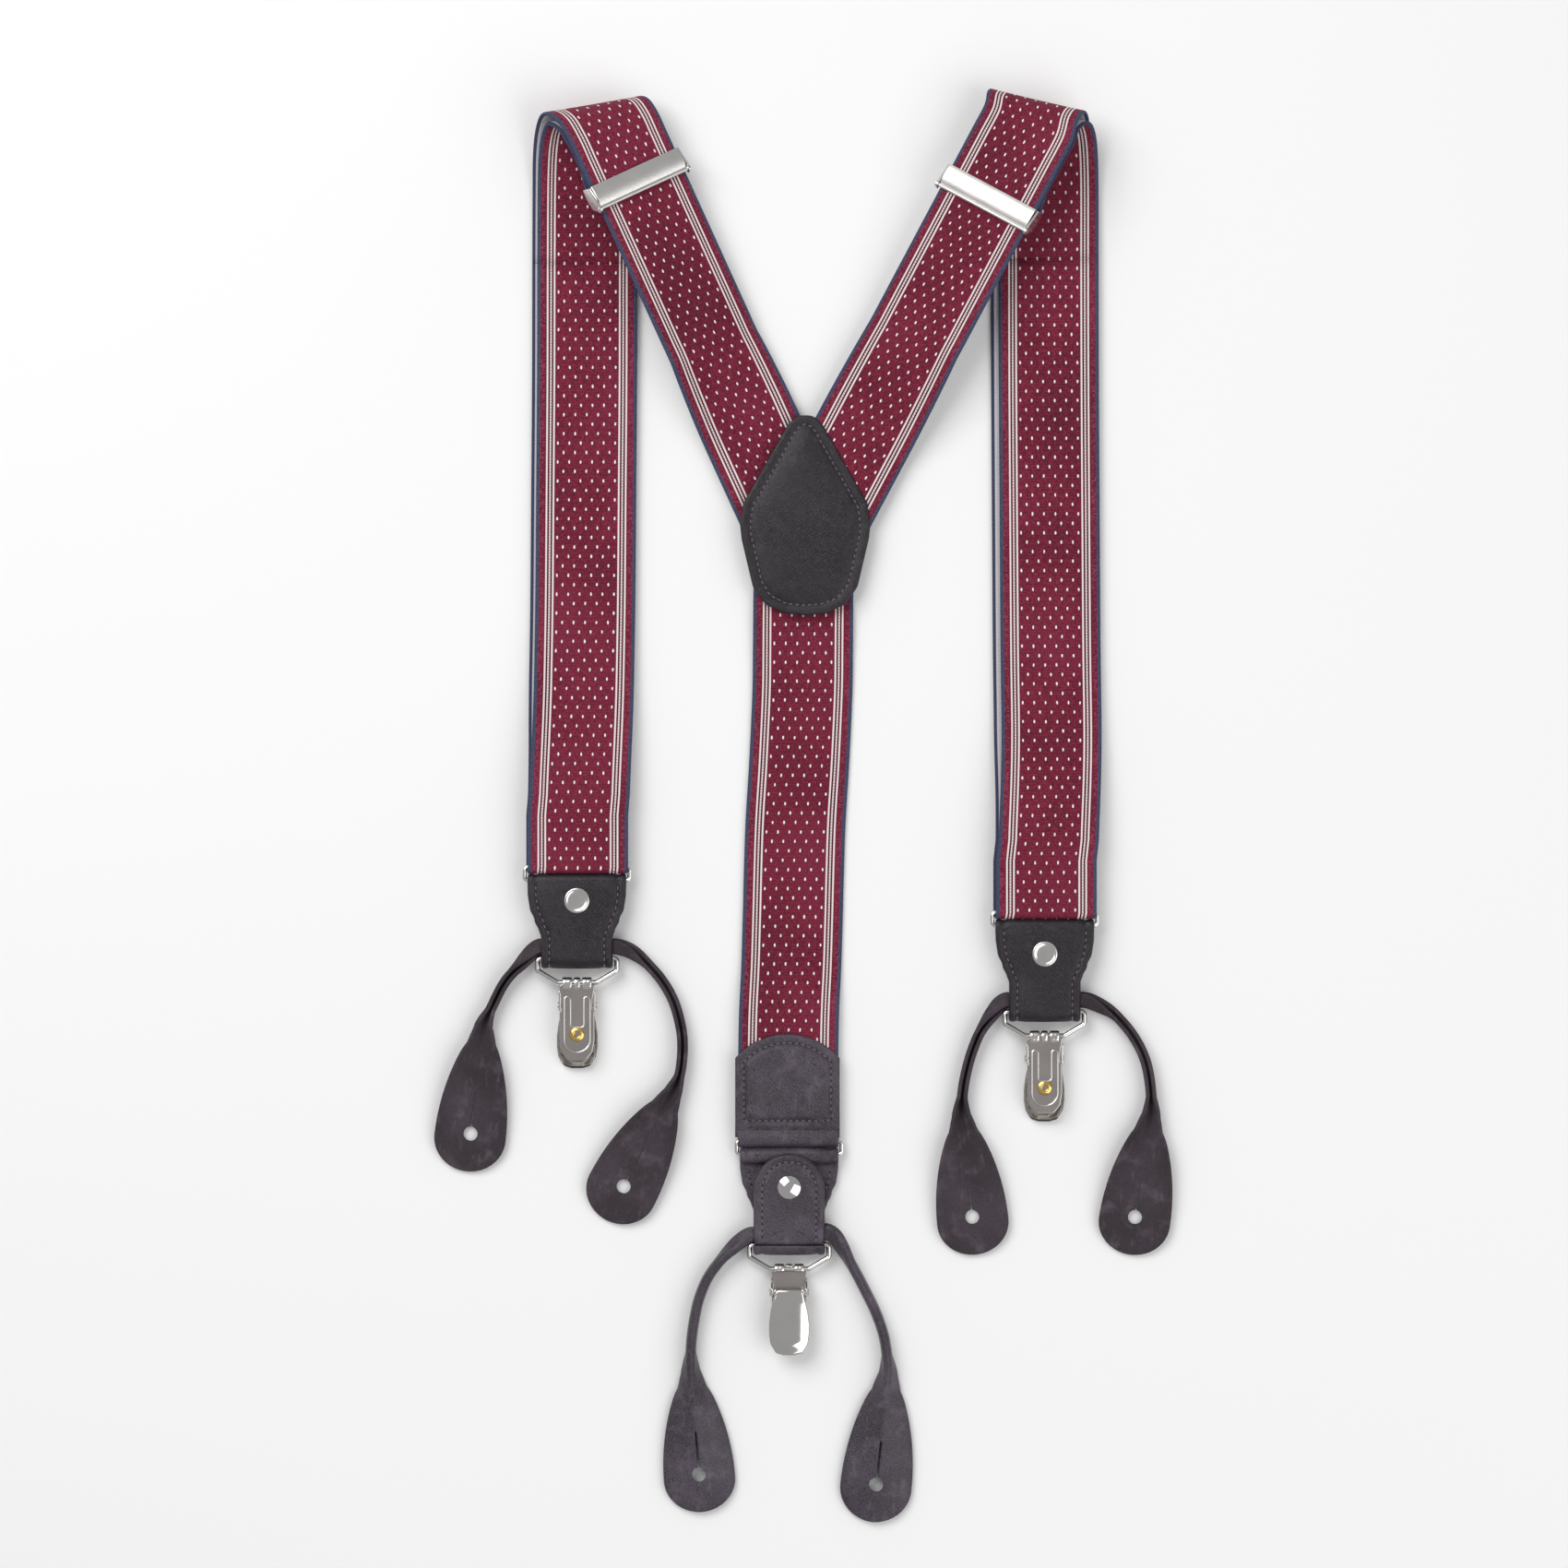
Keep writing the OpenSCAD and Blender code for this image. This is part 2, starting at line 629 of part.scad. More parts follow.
module end_piece(i, part) {
    if (part == "ring") at_ring(i, 0) ring();
    if (part == "tab") at_ring(i, -ring_pitch) tab(PLACES[i][3]);
    if (part == "flap") at_bail(i) flap();
    if (part == "snap_cap") at_bail(i) snap_cap();
    if (part == "snap_stud") at_bail(i) snap_stud();
    if (part == "bail") at_bail(i) translate([0, 0, fold_n]) bail();
    if (part == "clip_base") at_clip(i) clip_base();
    if (part == "clip_pad") at_clip(i) clip_pad();
    if (part == "clip_eyelet") at_clip(i) clip_eyelet();
    if (part == "clip_pin") at_clip(i) clip_pin();
    if (part == "clip_lever") at_clip(i) clip_lever();
    if (part == "button_loop") translate([PLACES[i][0], loop_axis(i)[1], 0]) button_loop(i);
}

END_PARTS = [
    "ring", "tab", "flap", "snap_cap", "snap_stud", "bail", "clip_base", "clip_pad",
    "clip_eyelet", "clip_pin", "clip_lever", "button_loop"
];
ADJUSTER_PARTS = ["adjuster_frame", "adjuster_lever", "tail_hem"];

// ---------- the nodes ----------

color(burgundy) shoulder_webbing(LEFT_RISE, LEFT_ARM);  // left_webbing
color(burgundy) shoulder_webbing(RIGHT_RISE, RIGHT_ARM);  // right_webbing
color(burgundy) tail_webbing(LEFT_RISE, LEFT_ARM);  // left_tail
color(burgundy) tail_webbing(RIGHT_RISE, RIGHT_ARM);  // right_tail
webbing_end(LEFT_END);  // left_webbing_end
webbing_end(RIGHT_END);  // right_webbing_end
centre_webbing();
patch(5.7);  // patch_top
patch(0);  // patch_back
back_end_leather();
for (part = ADJUSTER_PARTS) {
    adjuster_piece(part, LEFT_ARM, LEFT_SLIDE);
    adjuster_piece(part, RIGHT_ARM, RIGHT_SLIDE);
}
for (i = [0:len(ENDS) - 1]) for (part = END_PARTS)
    end_piece(i, part);
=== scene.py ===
"""Woven elastic, stitched leather and nickel for a pair of convertible suspenders.

Every piece is built in millimetres in the frame of the loaded model and written to its mesh in metres;
all but the front and tail lengths of the shoulder straps ride on the body that they belong to.
"""

import math
from collections import namedtuple

import bmesh
import bpy
from bpy.props import FloatProperty, FloatVectorProperty, PointerProperty
from mathutils import Matrix, Vector


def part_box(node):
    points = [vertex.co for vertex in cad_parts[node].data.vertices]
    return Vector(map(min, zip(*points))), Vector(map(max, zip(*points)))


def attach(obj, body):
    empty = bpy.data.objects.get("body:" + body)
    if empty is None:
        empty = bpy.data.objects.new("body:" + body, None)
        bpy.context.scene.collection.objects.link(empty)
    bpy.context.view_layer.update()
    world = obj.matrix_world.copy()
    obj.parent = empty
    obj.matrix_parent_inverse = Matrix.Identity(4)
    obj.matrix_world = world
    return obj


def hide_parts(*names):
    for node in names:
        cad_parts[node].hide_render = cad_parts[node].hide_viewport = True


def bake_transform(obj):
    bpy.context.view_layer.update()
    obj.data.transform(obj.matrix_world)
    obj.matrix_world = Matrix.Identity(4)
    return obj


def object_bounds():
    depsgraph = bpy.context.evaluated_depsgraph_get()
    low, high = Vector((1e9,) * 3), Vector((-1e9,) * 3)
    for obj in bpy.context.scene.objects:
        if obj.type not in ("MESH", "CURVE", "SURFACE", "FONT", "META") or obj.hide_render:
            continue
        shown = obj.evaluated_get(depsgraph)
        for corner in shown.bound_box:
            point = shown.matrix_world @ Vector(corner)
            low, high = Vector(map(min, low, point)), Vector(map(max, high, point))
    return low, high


bl_info = {
    "name": "Convertible Suspenders",
    "version": (1, 0, 0),
    "blender": (4, 5, 0),
    "location": "View3D > Sidebar > Suspenders",
    "description": "Builds the webbing, leather and hardware of a pair of suspenders",
    "category": "Object",
}

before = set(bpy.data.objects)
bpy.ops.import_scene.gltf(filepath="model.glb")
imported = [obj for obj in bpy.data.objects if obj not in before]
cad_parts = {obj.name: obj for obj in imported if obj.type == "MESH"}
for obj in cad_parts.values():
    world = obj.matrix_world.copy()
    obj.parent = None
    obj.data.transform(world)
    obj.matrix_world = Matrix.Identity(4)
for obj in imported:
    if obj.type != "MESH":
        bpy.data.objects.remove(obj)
CAD_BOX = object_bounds()
MM = 0.001
ENDS = ("left", "right", "back")
SIDES = ("left", "right")


# ---------------------------------------------------------------- the sizes


class WebbingSizes(bpy.types.PropertyGroup):
    """Sizes and colours of the woven elastic"""

    width: FloatProperty(
        name="Width", description="Width of the webbing", default=0.035, unit="LENGTH"
    )
    thickness: FloatProperty(
        name="Thickness", description="Thickness of the webbing", default=0.0014, unit="LENGTH"
    )
    row_pitch: FloatProperty(
        name="Row pitch", description="Distance between rows of pin dots", default=0.0033, unit="LENGTH"
    )
    dot_pitch: FloatProperty(
        name="Dot pitch", description="Distance between pin dots of a row", default=0.004, unit="LENGTH"
    )
    ground: FloatVectorProperty(
        name="Ground", description="Burgundy ground yarn", default=(0.185, 0.0105, 0.033), subtype="COLOR"
    )
    # Dark yarn of the weave, also the colour of the painted shade in the webbing's bends
    shade: FloatVectorProperty(
        name="Shade", description="Dark yarn of the weave", default=(0.05, 0.006, 0.014), subtype="COLOR"
    )
    pale: FloatVectorProperty(
        name="Pale", description="Yarn of the dots and stripes", default=(0.93, 0.85, 0.85), subtype="COLOR"
    )
    selvedge: FloatVectorProperty(
        name="Selvedge", description="Navy edge yarn", default=(0.05, 0.057, 0.108), subtype="COLOR"
    )
    backing: FloatVectorProperty(
        name="Backing", description="Pale back of the webbing", default=(0.7, 0.68, 0.7), subtype="COLOR"
    )


class LeatherSizes(bpy.types.PropertyGroup):
    """Colours of the leather and the size of its stitches"""

    smooth: FloatVectorProperty(
        name="Smooth side", description="Finished side", default=(0.012, 0.009, 0.013), subtype="COLOR"
    )
    # Colour of the back-end leather: the leather painted paler for the stronger light on the back end, which
    # is painted light
    lit_side_and_streak: FloatVectorProperty(
        name="Worn side", description="Paler leather of the back end",
        default=(0.046, 0.036, 0.049), subtype="COLOR",
    )
    flesh: FloatVectorProperty(
        name="Flesh side", description="Unfinished side", default=(0.046, 0.035, 0.044), subtype="COLOR"
    )
    thread: FloatVectorProperty(
        name="Thread", description="Stitching thread", default=(0.11, 0.085, 0.105), subtype="COLOR"
    )
    stitch_pitch: FloatProperty(
        name="Stitch pitch", description="Distance between stitches", default=0.0022, unit="LENGTH"
    )
    stitch_length: FloatProperty(
        name="Stitch length", description="Visible length of a stitch", default=0.0015, unit="LENGTH"
    )
    stitch_radius: FloatProperty(
        name="Thread radius", description="Radius of the thread", default=0.00024, unit="LENGTH"
    )


class MetalSizes(bpy.types.PropertyGroup):
    """Colours of the plated parts"""

    nickel: FloatVectorProperty(
        name="Nickel", description="Polished nickel plate", default=(0.78, 0.76, 0.74), subtype="COLOR"
    )
    # Darker nickel of the clip plates: painted dark reflection
    plate: FloatVectorProperty(
        name="Clip plate", description="Duller nickel of the clips", default=(0.5, 0.46, 0.44), subtype="COLOR"
    )
    brass: FloatVectorProperty(
        name="Brass", description="Eyelets", default=(0.85, 0.58, 0.18), subtype="COLOR"
    )
    pad: FloatVectorProperty(
        name="Pad", description="Soft jaw pad", default=(0.75, 0.72, 0.66), subtype="COLOR"
    )


class StageSizes(bpy.types.PropertyGroup):
    """Camera, floor and lights"""

    camera_height: FloatProperty(
        name="Camera height", description="Height of the camera", default=2.2, unit="LENGTH"
    )
    view_width: FloatProperty(
        name="View width", description="Width of the floor in view", default=0.5484, unit="LENGTH"
    )
    floor: FloatVectorProperty(
        name="Floor", description="Colour of the floor", default=(0.93, 0.93, 0.93), subtype="COLOR"
    )
    key: FloatProperty(name="Key", description="Power of the key light", default=15.5, unit="POWER")
    fill: FloatProperty(name="Fill", description="Power of the fill light", default=10.0, unit="POWER")


# ------------------------------------------------------------ shader maths


class Graph:
    """The node tree of one material"""

    def __init__(self, name):
        self.material = bpy.data.materials.new(name)
        self.material.use_nodes = True
        self.tree = self.material.node_tree
        self.tree.nodes.clear()

    def node(self, kind, settings=None, output=0, **inputs):
        """One node: settings first, then its inputs by name with _ for a space; returns an output"""
        made = self.tree.nodes.new(kind)
        for key, value in (settings or {}).items():
            setattr(made, key, value)
        for key, value in inputs.items():
            self.feed(made.inputs[key.replace("_", " ")], value)
        return Wire(self, made.outputs[output])

    def feed(self, socket, value):
        """Links a wire, or sets a number or a colour"""
        if isinstance(value, Wire):
            self.tree.links.new(value.socket, socket)
        elif socket.type == "RGBA" and len(value) == 3:
            socket.default_value = (*value, 1)
        else:
            socket.default_value = value

    def object_place(self):
        """Object coordinates"""
        return self.node("ShaderNodeTexCoord", output=3)

    def weave_place(self):
        """Place across and along the webbing, in millimetres"""
        uv = self.node("ShaderNodeUVMap", {"uv_map": "weave"})
        across = self.node("ShaderNodeSeparateXYZ", Vector=uv)
        return across, Wire(self, across.socket.node.outputs[1])

    def noise(self, where, scale, detail=3.0, rough=0.5):
        """A cloud of values around one half"""
        return self.node("ShaderNodeTexNoise", Vector=where, Scale=scale, Detail=detail, Roughness=rough)

    def mix(self, factor, a, b):
        """Colour a where factor is 0 and b where it is 1"""
        made = self.tree.nodes.new("ShaderNodeMix")
        made.data_type = "RGBA"
        for socket, value in ((0, factor), (6, a), (7, b)):
            self.feed(made.inputs[socket], value)
        return Wire(self, made.outputs[2])

    def finish(self, **sockets):
        """The principled shader and the output"""
        shader = self.tree.nodes.new("ShaderNodeBsdfPrincipled")
        for key, value in sockets.items():
            self.feed(shader.inputs[key.replace("_", " ")], value)
        out = self.tree.nodes.new("ShaderNodeOutputMaterial")
        self.tree.links.new(shader.outputs[0], out.inputs[0])
        return self.material

    def bump(self, height, distance, strength=1.0):
        """A normal from a height"""
        return self.node("ShaderNodeBump", Height=height, Distance=distance, Strength=strength)


class Wire:
    """An output socket that takes part in sums"""

    def __init__(self, graph, socket):
        self.graph = graph
        self.socket = socket

    def math(self, operation, *others):
        """A Math node on this value and the others"""
        made = self.graph.tree.nodes.new("ShaderNodeMath")
        made.operation = operation
        for socket, value in zip(made.inputs, (self, *others)):
            self.graph.feed(socket, value)
        return Wire(self.graph, made.outputs[0])

    def __add__(self, other):
        return self.math("ADD", other)

    __radd__ = __add__

    def __sub__(self, other):
        return self.math("SUBTRACT", other)

    def __rsub__(self, other):
        return (self * -1) + other

    def __mul__(self, other):
        return self.math("MULTIPLY", other)

    __rmul__ = __mul__

    def __truediv__(self, other):
        return self.math("DIVIDE", other)

    def __mod__(self, other):
        return self.math("FLOORED_MODULO", other)

    def size(self):
        return self.math("ABSOLUTE")

    def wave(self):
        return self.math("SINE")

    def step(self, low, high):
        """0 below low and 1 above high, smoothly"""
        made = self.graph.tree.nodes.new("ShaderNodeMapRange")
        made.interpolation_type = "SMOOTHSTEP"
        for socket, value in zip(made.inputs, (self, low, high, 0.0, 1.0)):
            self.graph.feed(socket, value)
        return Wire(self.graph, made.outputs[0])

    def band(self, centre, half, soft):
        """1 within half of centre, fading over soft"""
        return 1 - (self - centre).size().step(half, half + soft)


def shades(colour, *shares):
    """The colour darkened or lightened by each share"""
    return [[share * c for c in colour] for share in shares]


# -------------------------------------------------------------- materials


# Places across the webbing, from its middle, in millimetres
DOTS_END = 10.55
STRIPES = (11.4, 12.6, 13.8)
GAPS = (12.0, 13.2)
BORDER = 16.1


def webbing_face(sizes):
    """The patterned side: pin dots, three pale stripes at each edge and a navy selvedge"""
    g = Graph("webbing_face")
    across, along = g.weave_place()
    place = g.object_place()
    edge = across.size()

    row = sizes.row_pitch / MM
    column = sizes.dot_pitch / MM
    number = (along / row).math("FLOOR")
    stagger = (number % 2) * (column / 2)
    du = (across + stagger) % column - column / 2
    dv = along % row - row / 2
    wobble = g.noise(place, 900.0, 1.0)
    reach = (du / 0.33).math("POWER", 2.0) + (dv / 0.64).math("POWER", 2.0) + (wobble - 0.5) * 1.3
    dot = (1 - reach.step(0.75, 1.15)) * (1 - edge.step(DOTS_END, DOTS_END + 0.2))

    dashes = (along * 6.0).wave().step(-0.5, 0.5)
    middle = edge.band(STRIPES[1], 0.24, 0.12) * (dashes * 0.4 + 0.6)
    stripes = edge.band(STRIPES[0], 0.25, 0.12) + middle + edge.band(STRIPES[2], 0.25, 0.12)
    gaps = (edge.band(GAPS[0], 0.14, 0.1) + edge.band(GAPS[1], 0.14, 0.1)) * (dashes * 0.5 + 0.5)
    twist = ((along * 7.2 + across * 6.0).wave() * 0.5 + 0.5) * 0.35 + 0.65

    rib = (across * 9.5 + along * 6.6).wave()
    weft = (across * 9.5 - along * 6.6).wave()
    weave = rib * weft * 0.5 + 0.5
    cloud = g.noise(place, 26.0, 2.0)
    fine = g.noise(place, 1400.0, 2.0)
    grain = (weave * 0.42 + fine * 0.7).step(0.3, 0.78)
    ground = g.mix(grain, sizes.shade, *shades(sizes.ground, 1.4))
    # Pale pink specks on the highest grain: partly yarn colour, partly painted highlight on the tops of the
    # yarn
    ground = g.mix(grain.step(0.7, 1.0) * 0.3, ground, (0.37, 0.075, 0.125))
    # Large soft patches along the webbing: the lighter ones are painted light and the darker ones are painted
    # shade of its bends and waves
    ground = g.mix((cloud - 0.45) * 0.9, ground, (0.3, 0.04, 0.085))
    ground = g.mix((0.5 - cloud) * 1.4, ground, sizes.shade)
    fleck = (g.noise(place, 1100.0, 1.0) - 0.5).step(0.0, 0.1) * edge.step(14.6, 14.8)
    ground = g.mix(fleck * 0.4, ground, (0.34, 0.08, 0.13))
    ground = g.mix(gaps * 0.85, ground, (0.02, 0.01, 0.012))
    pale = g.mix(twist, (0.5, 0.3, 0.3), sizes.pale)
    cloth = g.mix(stripes, ground, pale)
    cloth = g.mix(dot, cloth, sizes.pale)
    navy = g.mix(fine, *shades(sizes.selvedge, 0.45, 1.9))
    border = edge.step(BORDER, BORDER + 0.3)
    cloth = g.mix(border, cloth, navy)

    height = weave * 0.45 + dot * 0.8 + stripes * (twist * 0.7) + fine * 0.3 - gaps * 0.5
    height = height - border * (edge - (BORDER + 0.2)) * 0.5
    return g.finish(
        Base_Color=cloth,
        Roughness=(dot + stripes) * -0.12 + 0.74,
        Normal=g.bump(height, 0.00022, 0.9),
        Specular_IOR_Level=0.18,
        Sheen_Weight=0.04,
        Sheen_Roughness=0.4,
    )


def webbing_back(sizes):
    """The pale ribbed back, with the navy selvedge showing at its edges"""
    g = Graph("webbing_back")
    across, along = g.weave_place()
    ribs = (along * 7.8).wave() * 0.5 + 0.5
    cords = (across * 6.3).wave() * 0.5 + 0.5
    fine = g.noise(g.object_place(), 1200.0, 2.0)
    cloth = g.mix(ribs * 0.5 + fine * 0.4, *shades(sizes.backing, 0.72, 1))
    cloth = g.mix(across.size().step(BORDER + 0.15, BORDER + 0.4), cloth, sizes.selvedge)
    return g.finish(
        Base_Color=cloth,
        Roughness=0.85,
        Normal=g.bump(ribs * 0.6 + cords * 0.4 + fine * 0.3, 0.0002, 0.8),
        Specular_IOR_Level=0.2,
    )


def leather_face(name, colour, roughness, grain, grain_depth):
    """Leather with a fine cell grain, slow colour changes, paler drawn streaks and painted highlights on its
    raised creases
    """
    g = Graph(name)
    place = g.object_place()
    cells = g.node("ShaderNodeTexVoronoi", {"feature": "DISTANCE_TO_EDGE"}, Vector=place, Scale=grain)
    pores = g.noise(place, grain * 1.7, 3.0)
    cloud = g.noise(place, 45.0, 3.0)
    crease = g.noise(place, 160.0, 4.0, 0.6)
    drawn = g.node("ShaderNodeMapping", Vector=place, Scale=(420.0, 130.0, 420.0))
    streaks = g.noise(drawn, 1.0, 4.0, 0.6)
    dark, light, paler, pale, lit_side_and_streak = shades(colour, 0.6, 1.6, 2.3, 3.0, 3.6)
    tone = g.mix(cloud.step(0.35, 0.68), dark, light)
    tone = g.mix(pores.step(0.4, 0.62) * 0.5, tone, paler)
    tone = g.mix(cells.step(0.0, 0.12), dark, tone)
    # Pale where the creases rise: painted highlight
    tone = g.mix((crease - 0.5).step(0.0, 0.3) * 0.7, tone, pale)
    # Paler drawn streaks in the leather
    tone = g.mix((streaks - 0.55).step(0.0, 0.25) * 0.45, tone, lit_side_and_streak)
    height = cells.step(0.0, 0.25) * 0.6 + pores * 0.4 + crease * 0.9
    return g.finish(
        Base_Color=tone,
        Roughness=cloud * 0.16 + pores * 0.1 + (roughness - 0.13),
        Normal=g.bump(height, grain_depth, 0.8),
        Specular_IOR_Level=0.4,
    )


def thread(name, colour):
    """Waxed thread with a twist"""
    g = Graph(name)
    ply = g.noise(g.object_place(), 2500.0, 1.0)
    tone = g.mix(ply, *shades(colour, 0.6, 2.2))
    return g.finish(Base_Color=tone, Roughness=0.5, Normal=g.bump(ply, 0.0001, 0.6))


def plated(name, colour, roughness, scratch, brushed=0.0):
    """Plated metal with faint scratches, and a brushed grain across X where asked for"""
    g = Graph(name)
    place = g.object_place()
    cloud = g.noise(place, 120.0, 3.0)
    fine = g.noise(place, 1500.0, 2.0)
    stretch = g.node("ShaderNodeMapping", Vector=place, Scale=(40.0, 1500.0, 1500.0))
    lines = g.noise(stretch, 1.0, 2.0)
    return g.finish(
        Base_Color=g.mix(cloud, *shades(colour, 0.86, 1)),
        Metallic=1.0,
        Roughness=cloud * 0.08 + lines * (0.12 if brushed else 0.0) + roughness,
        Normal=g.bump(fine * scratch + lines * brushed, 0.00003, 0.6),
    )


def soft_pad(colour):
    """Soft plastic of the jaw pads"""
    g = Graph("jaw_pad")
    cloud = g.noise(g.object_place(), 300.0, 2.0)
    tone = g.mix(cloud, *shades(colour, 0.8, 1))
    return g.finish(Base_Color=tone, Roughness=cloud * 0.2 + 0.35, Normal=g.bump(cloud, 0.00005, 0.5))


def floor_paper(colour):
    """Plain pale paper"""
    g = Graph("floor")
    cloud = g.noise(g.object_place(), 4.0, 2.0)
    return g.finish(Base_Color=g.mix(cloud, *shades(colour, 0.99, 1)), Roughness=0.9)


MATERIALS = {}


def make_materials(scene):
    """Every finish of the object, by name"""
    cloth, hide, metal = scene.webbing_sizes, scene.leather_sizes, scene.metal_sizes
    MATERIALS.update(
        face=webbing_face(cloth),
        back=webbing_back(cloth),
        leather=leather_face("smooth_leather", hide.smooth, 0.34, 1500.0, 0.00009),
        # Back-end leather: the same leather painted paler for the light falling on it, which is painted light
        pale_leather=leather_face("lit_back_leather", hide.lit_side_and_streak, 0.36, 1300.0, 0.00011),
        # Near-black dots in the pin holes: painted shade
        pin_hole=thread("thread", (0.004, 0.003, 0.004)),
        flesh=leather_face("flesh_leather", hide.flesh, 0.86, 2600.0, 0.00016),
        thread=thread("thread", hide.thread),
        nickel=plated("nickel", metal.nickel, 0.13, 0.3),
        mirror=plated("mirror_nickel", metal.nickel, 0.05, 0.1),
        brushed=plated("brushed_nickel", metal.nickel, 0.24, 0.2, 1.0),
        brass=plated("brass", metal.brass, 0.16, 0.3),
        # Clip plates: nickel painted darker for a dark reflection
        plate=plated("dark_reflection_nickel", metal.plate, 0.2, 0.6),
        pad=soft_pad(metal.pad),
    )


# ------------------------------------------------------------- mesh tools


def curve_through(points, steps):
    """A smooth curve through rows of numbers, with that many steps in each stretch"""
    rows = []
    count = len(points)
    for i in range(count - 1):
        a, b = points[max(i - 1, 0)], points[i]
        c, d = points[i + 1], points[min(i + 2, count - 1)]
        for k in range(steps):
            t = k / steps
            rows.append(
                [
                    0.5 * (2 * q + (r - p) * t + (2 * p - 5 * q + 4 * r - s) * t**2
                           + (3 * q - p - 3 * r + s) * t**3)
                    for p, q, r, s in zip(a, b, c, d)
                ]
            )
    rows.append(list(points[-1]))
    return rows


def ease(x):
    """0 to 1 with no corner at either end"""
    x = min(max(x, 0.0), 1.0)
    return x * x * (3 - 2 * x)


def blend_values(x, low, high, a, b):
    """a below low, b above high, and an even change between"""
    return a + (b - a) * ease((x - low) / (high - low))


def new_piece(name, bm, materials):
    """A mesh object from a bmesh in millimetres, with its faces turned outwards"""
    bmesh.ops.remove_doubles(bm, verts=bm.verts, dist=0.0005)
    bmesh.ops.dissolve_degenerate(bm, edges=bm.edges, dist=0.0004)
    bmesh.ops.recalc_face_normals(bm, faces=bm.faces)
    bmesh.ops.scale(bm, vec=(MM, MM, MM), verts=bm.verts)
    mesh = bpy.data.meshes.new(name)
    bm.to_mesh(mesh)
    bm.free()
    for polygon in mesh.polygons:
        polygon.use_smooth = True
    for material in materials:
        mesh.materials.append(material)
    piece = bpy.data.objects.new(name, mesh)
    bpy.context.scene.collection.objects.link(piece)
    return piece


def settle(piece, body, node=None):
    """Gives a piece its body, and hides the node that it stands for"""
    if node:
        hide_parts(node)
    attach(piece, body)


def loft(name, rings, materials, paint=None, uvs=None, caps=True):
    """Joins closed rings of points into a skin. paint(j) gives a face's material, and uvs has a
    row of pairs for each ring."""
    bm = bmesh.new()
    layer = bm.loops.layers.uv.new("weave") if uvs else None
    rows = [[bm.verts.new(p) for p in ring] for ring in rings]
    count = len(rings[0])
    for i in range(len(rows) - 1):
        for j in range(count):
            k = (j + 1) % count
            corners = [(i, j), (i, k), (i + 1, k), (i + 1, j)]
            face = bm.faces.new([rows[a][b] for a, b in corners])
            if paint:
                face.material_index = paint(j)
            if layer:
                for loop, (a, b) in zip(face.loops, corners):
                    loop[layer].uv = uvs[a][b]
    if caps:
        for row, index in ((rows[0], 0), (rows[-1], len(rows) - 1)):
            face = bm.faces.new(row if index else row[::-1])
            if layer:
                for loop, b in zip(face.loops, range(count) if index else range(count - 1, -1, -1)):
                    loop[layer].uv = uvs[index][b]
    return new_piece(name, bm, materials)


def round_edge(inset, radius):
    """How far a rounded edge drops below its flat at this inset"""
    if inset >= radius:
        return 0.0
    return radius - math.sqrt(max(radius**2 - (radius - inset) ** 2, 0.0))


def rim(inset, groove_at, groove, crown):
    """Leather relief: a rolled edge, a pressed stitch line and a gently full middle"""
    dip = -groove * math.exp(-(((inset - groove_at) / 0.55) ** 2))
    roll = 0.12 * math.exp(-(((inset - 1.2) / 0.9) ** 2))
    return roll + dip + crown * ease((inset - groove_at) / 4.0)


INSETS = [0, 0.06, 0.18, 0.35, 0.6, 0.9, 1.3, 1.8, 2.2, 2.5, 2.8, 3.1, 3.4, 3.8, 4.4, 5.2, 6.4]


def pad(name, outline, heart, top, bottom, material, place, insets=INSETS, inner=4):
    """A plate from a closed outline: rings step inwards and then close on the heart of each point.
    top and bottom give the height at (x, y, inset)."""
    bm = bmesh.new()
    count = len(outline)
    points = [Vector((x, y)) for x, y in outline]
    area = sum(points[i - 1].cross(points[i]) for i in range(count))
    turn = 1 if area > 0 else -1
    rows = []
    for i, here in enumerate(points):
        way = points[(i + 1) % count] - points[i - 1]
        inward = Vector((-way.y, way.x)).normalized() * turn
        to_heart = Vector(heart(here.x, here.y)) - here
        reach = max(to_heart.dot(inward), 0.05)
        steps = [min(d / reach, 1.0) for d in insets]
        last = steps[-1]
        steps += [last + (1 - last) * (k + 1) / inner for k in range(inner)]
        rows.append([(here + to_heart * f, f * reach) for f in steps])
    depth = len(rows[0])
    skins = []
    for height in (top, bottom):
        skins.append(
            [[bm.verts.new((p.x, p.y, height(p.x, p.y, d))) for p, d in row] for row in rows]
        )
    for skin in skins:
        for i in range(count):
            for k in range(depth - 1):
                corners = [skin[i][k], skin[i - 1][k], skin[i - 1][k + 1], skin[i][k + 1]]
                bm.faces.new(corners)
    for i in range(count):
        bm.faces.new([skins[0][i][0], skins[1][i][0], skins[1][i - 1][0], skins[0][i - 1][0]])
    bm.transform(place)
    return new_piece(name, bm, [material])


def along_outline(points, inset):
    """The outline moved inwards by the inset"""
    count = len(points)
    pts = [Vector(p) for p in points]
    area = sum(pts[i - 1].cross(pts[i]) for i in range(count))
    turn = 1 if area > 0 else -1
    moved = []
    for i, here in enumerate(pts):
        way = pts[(i + 1) % count] - pts[i - 1]
        moved.append(here + Vector((-way.y, way.x)).normalized() * turn * inset)
    return moved


# ---------------------------------------------------------- what is sewn


# The pin holes are near-black dots: painted shade in the holes
PRICK_WIDE, PRICK_DEEP = 1.7, 0.7  # size of the pin hole between two stitches, in thread radii


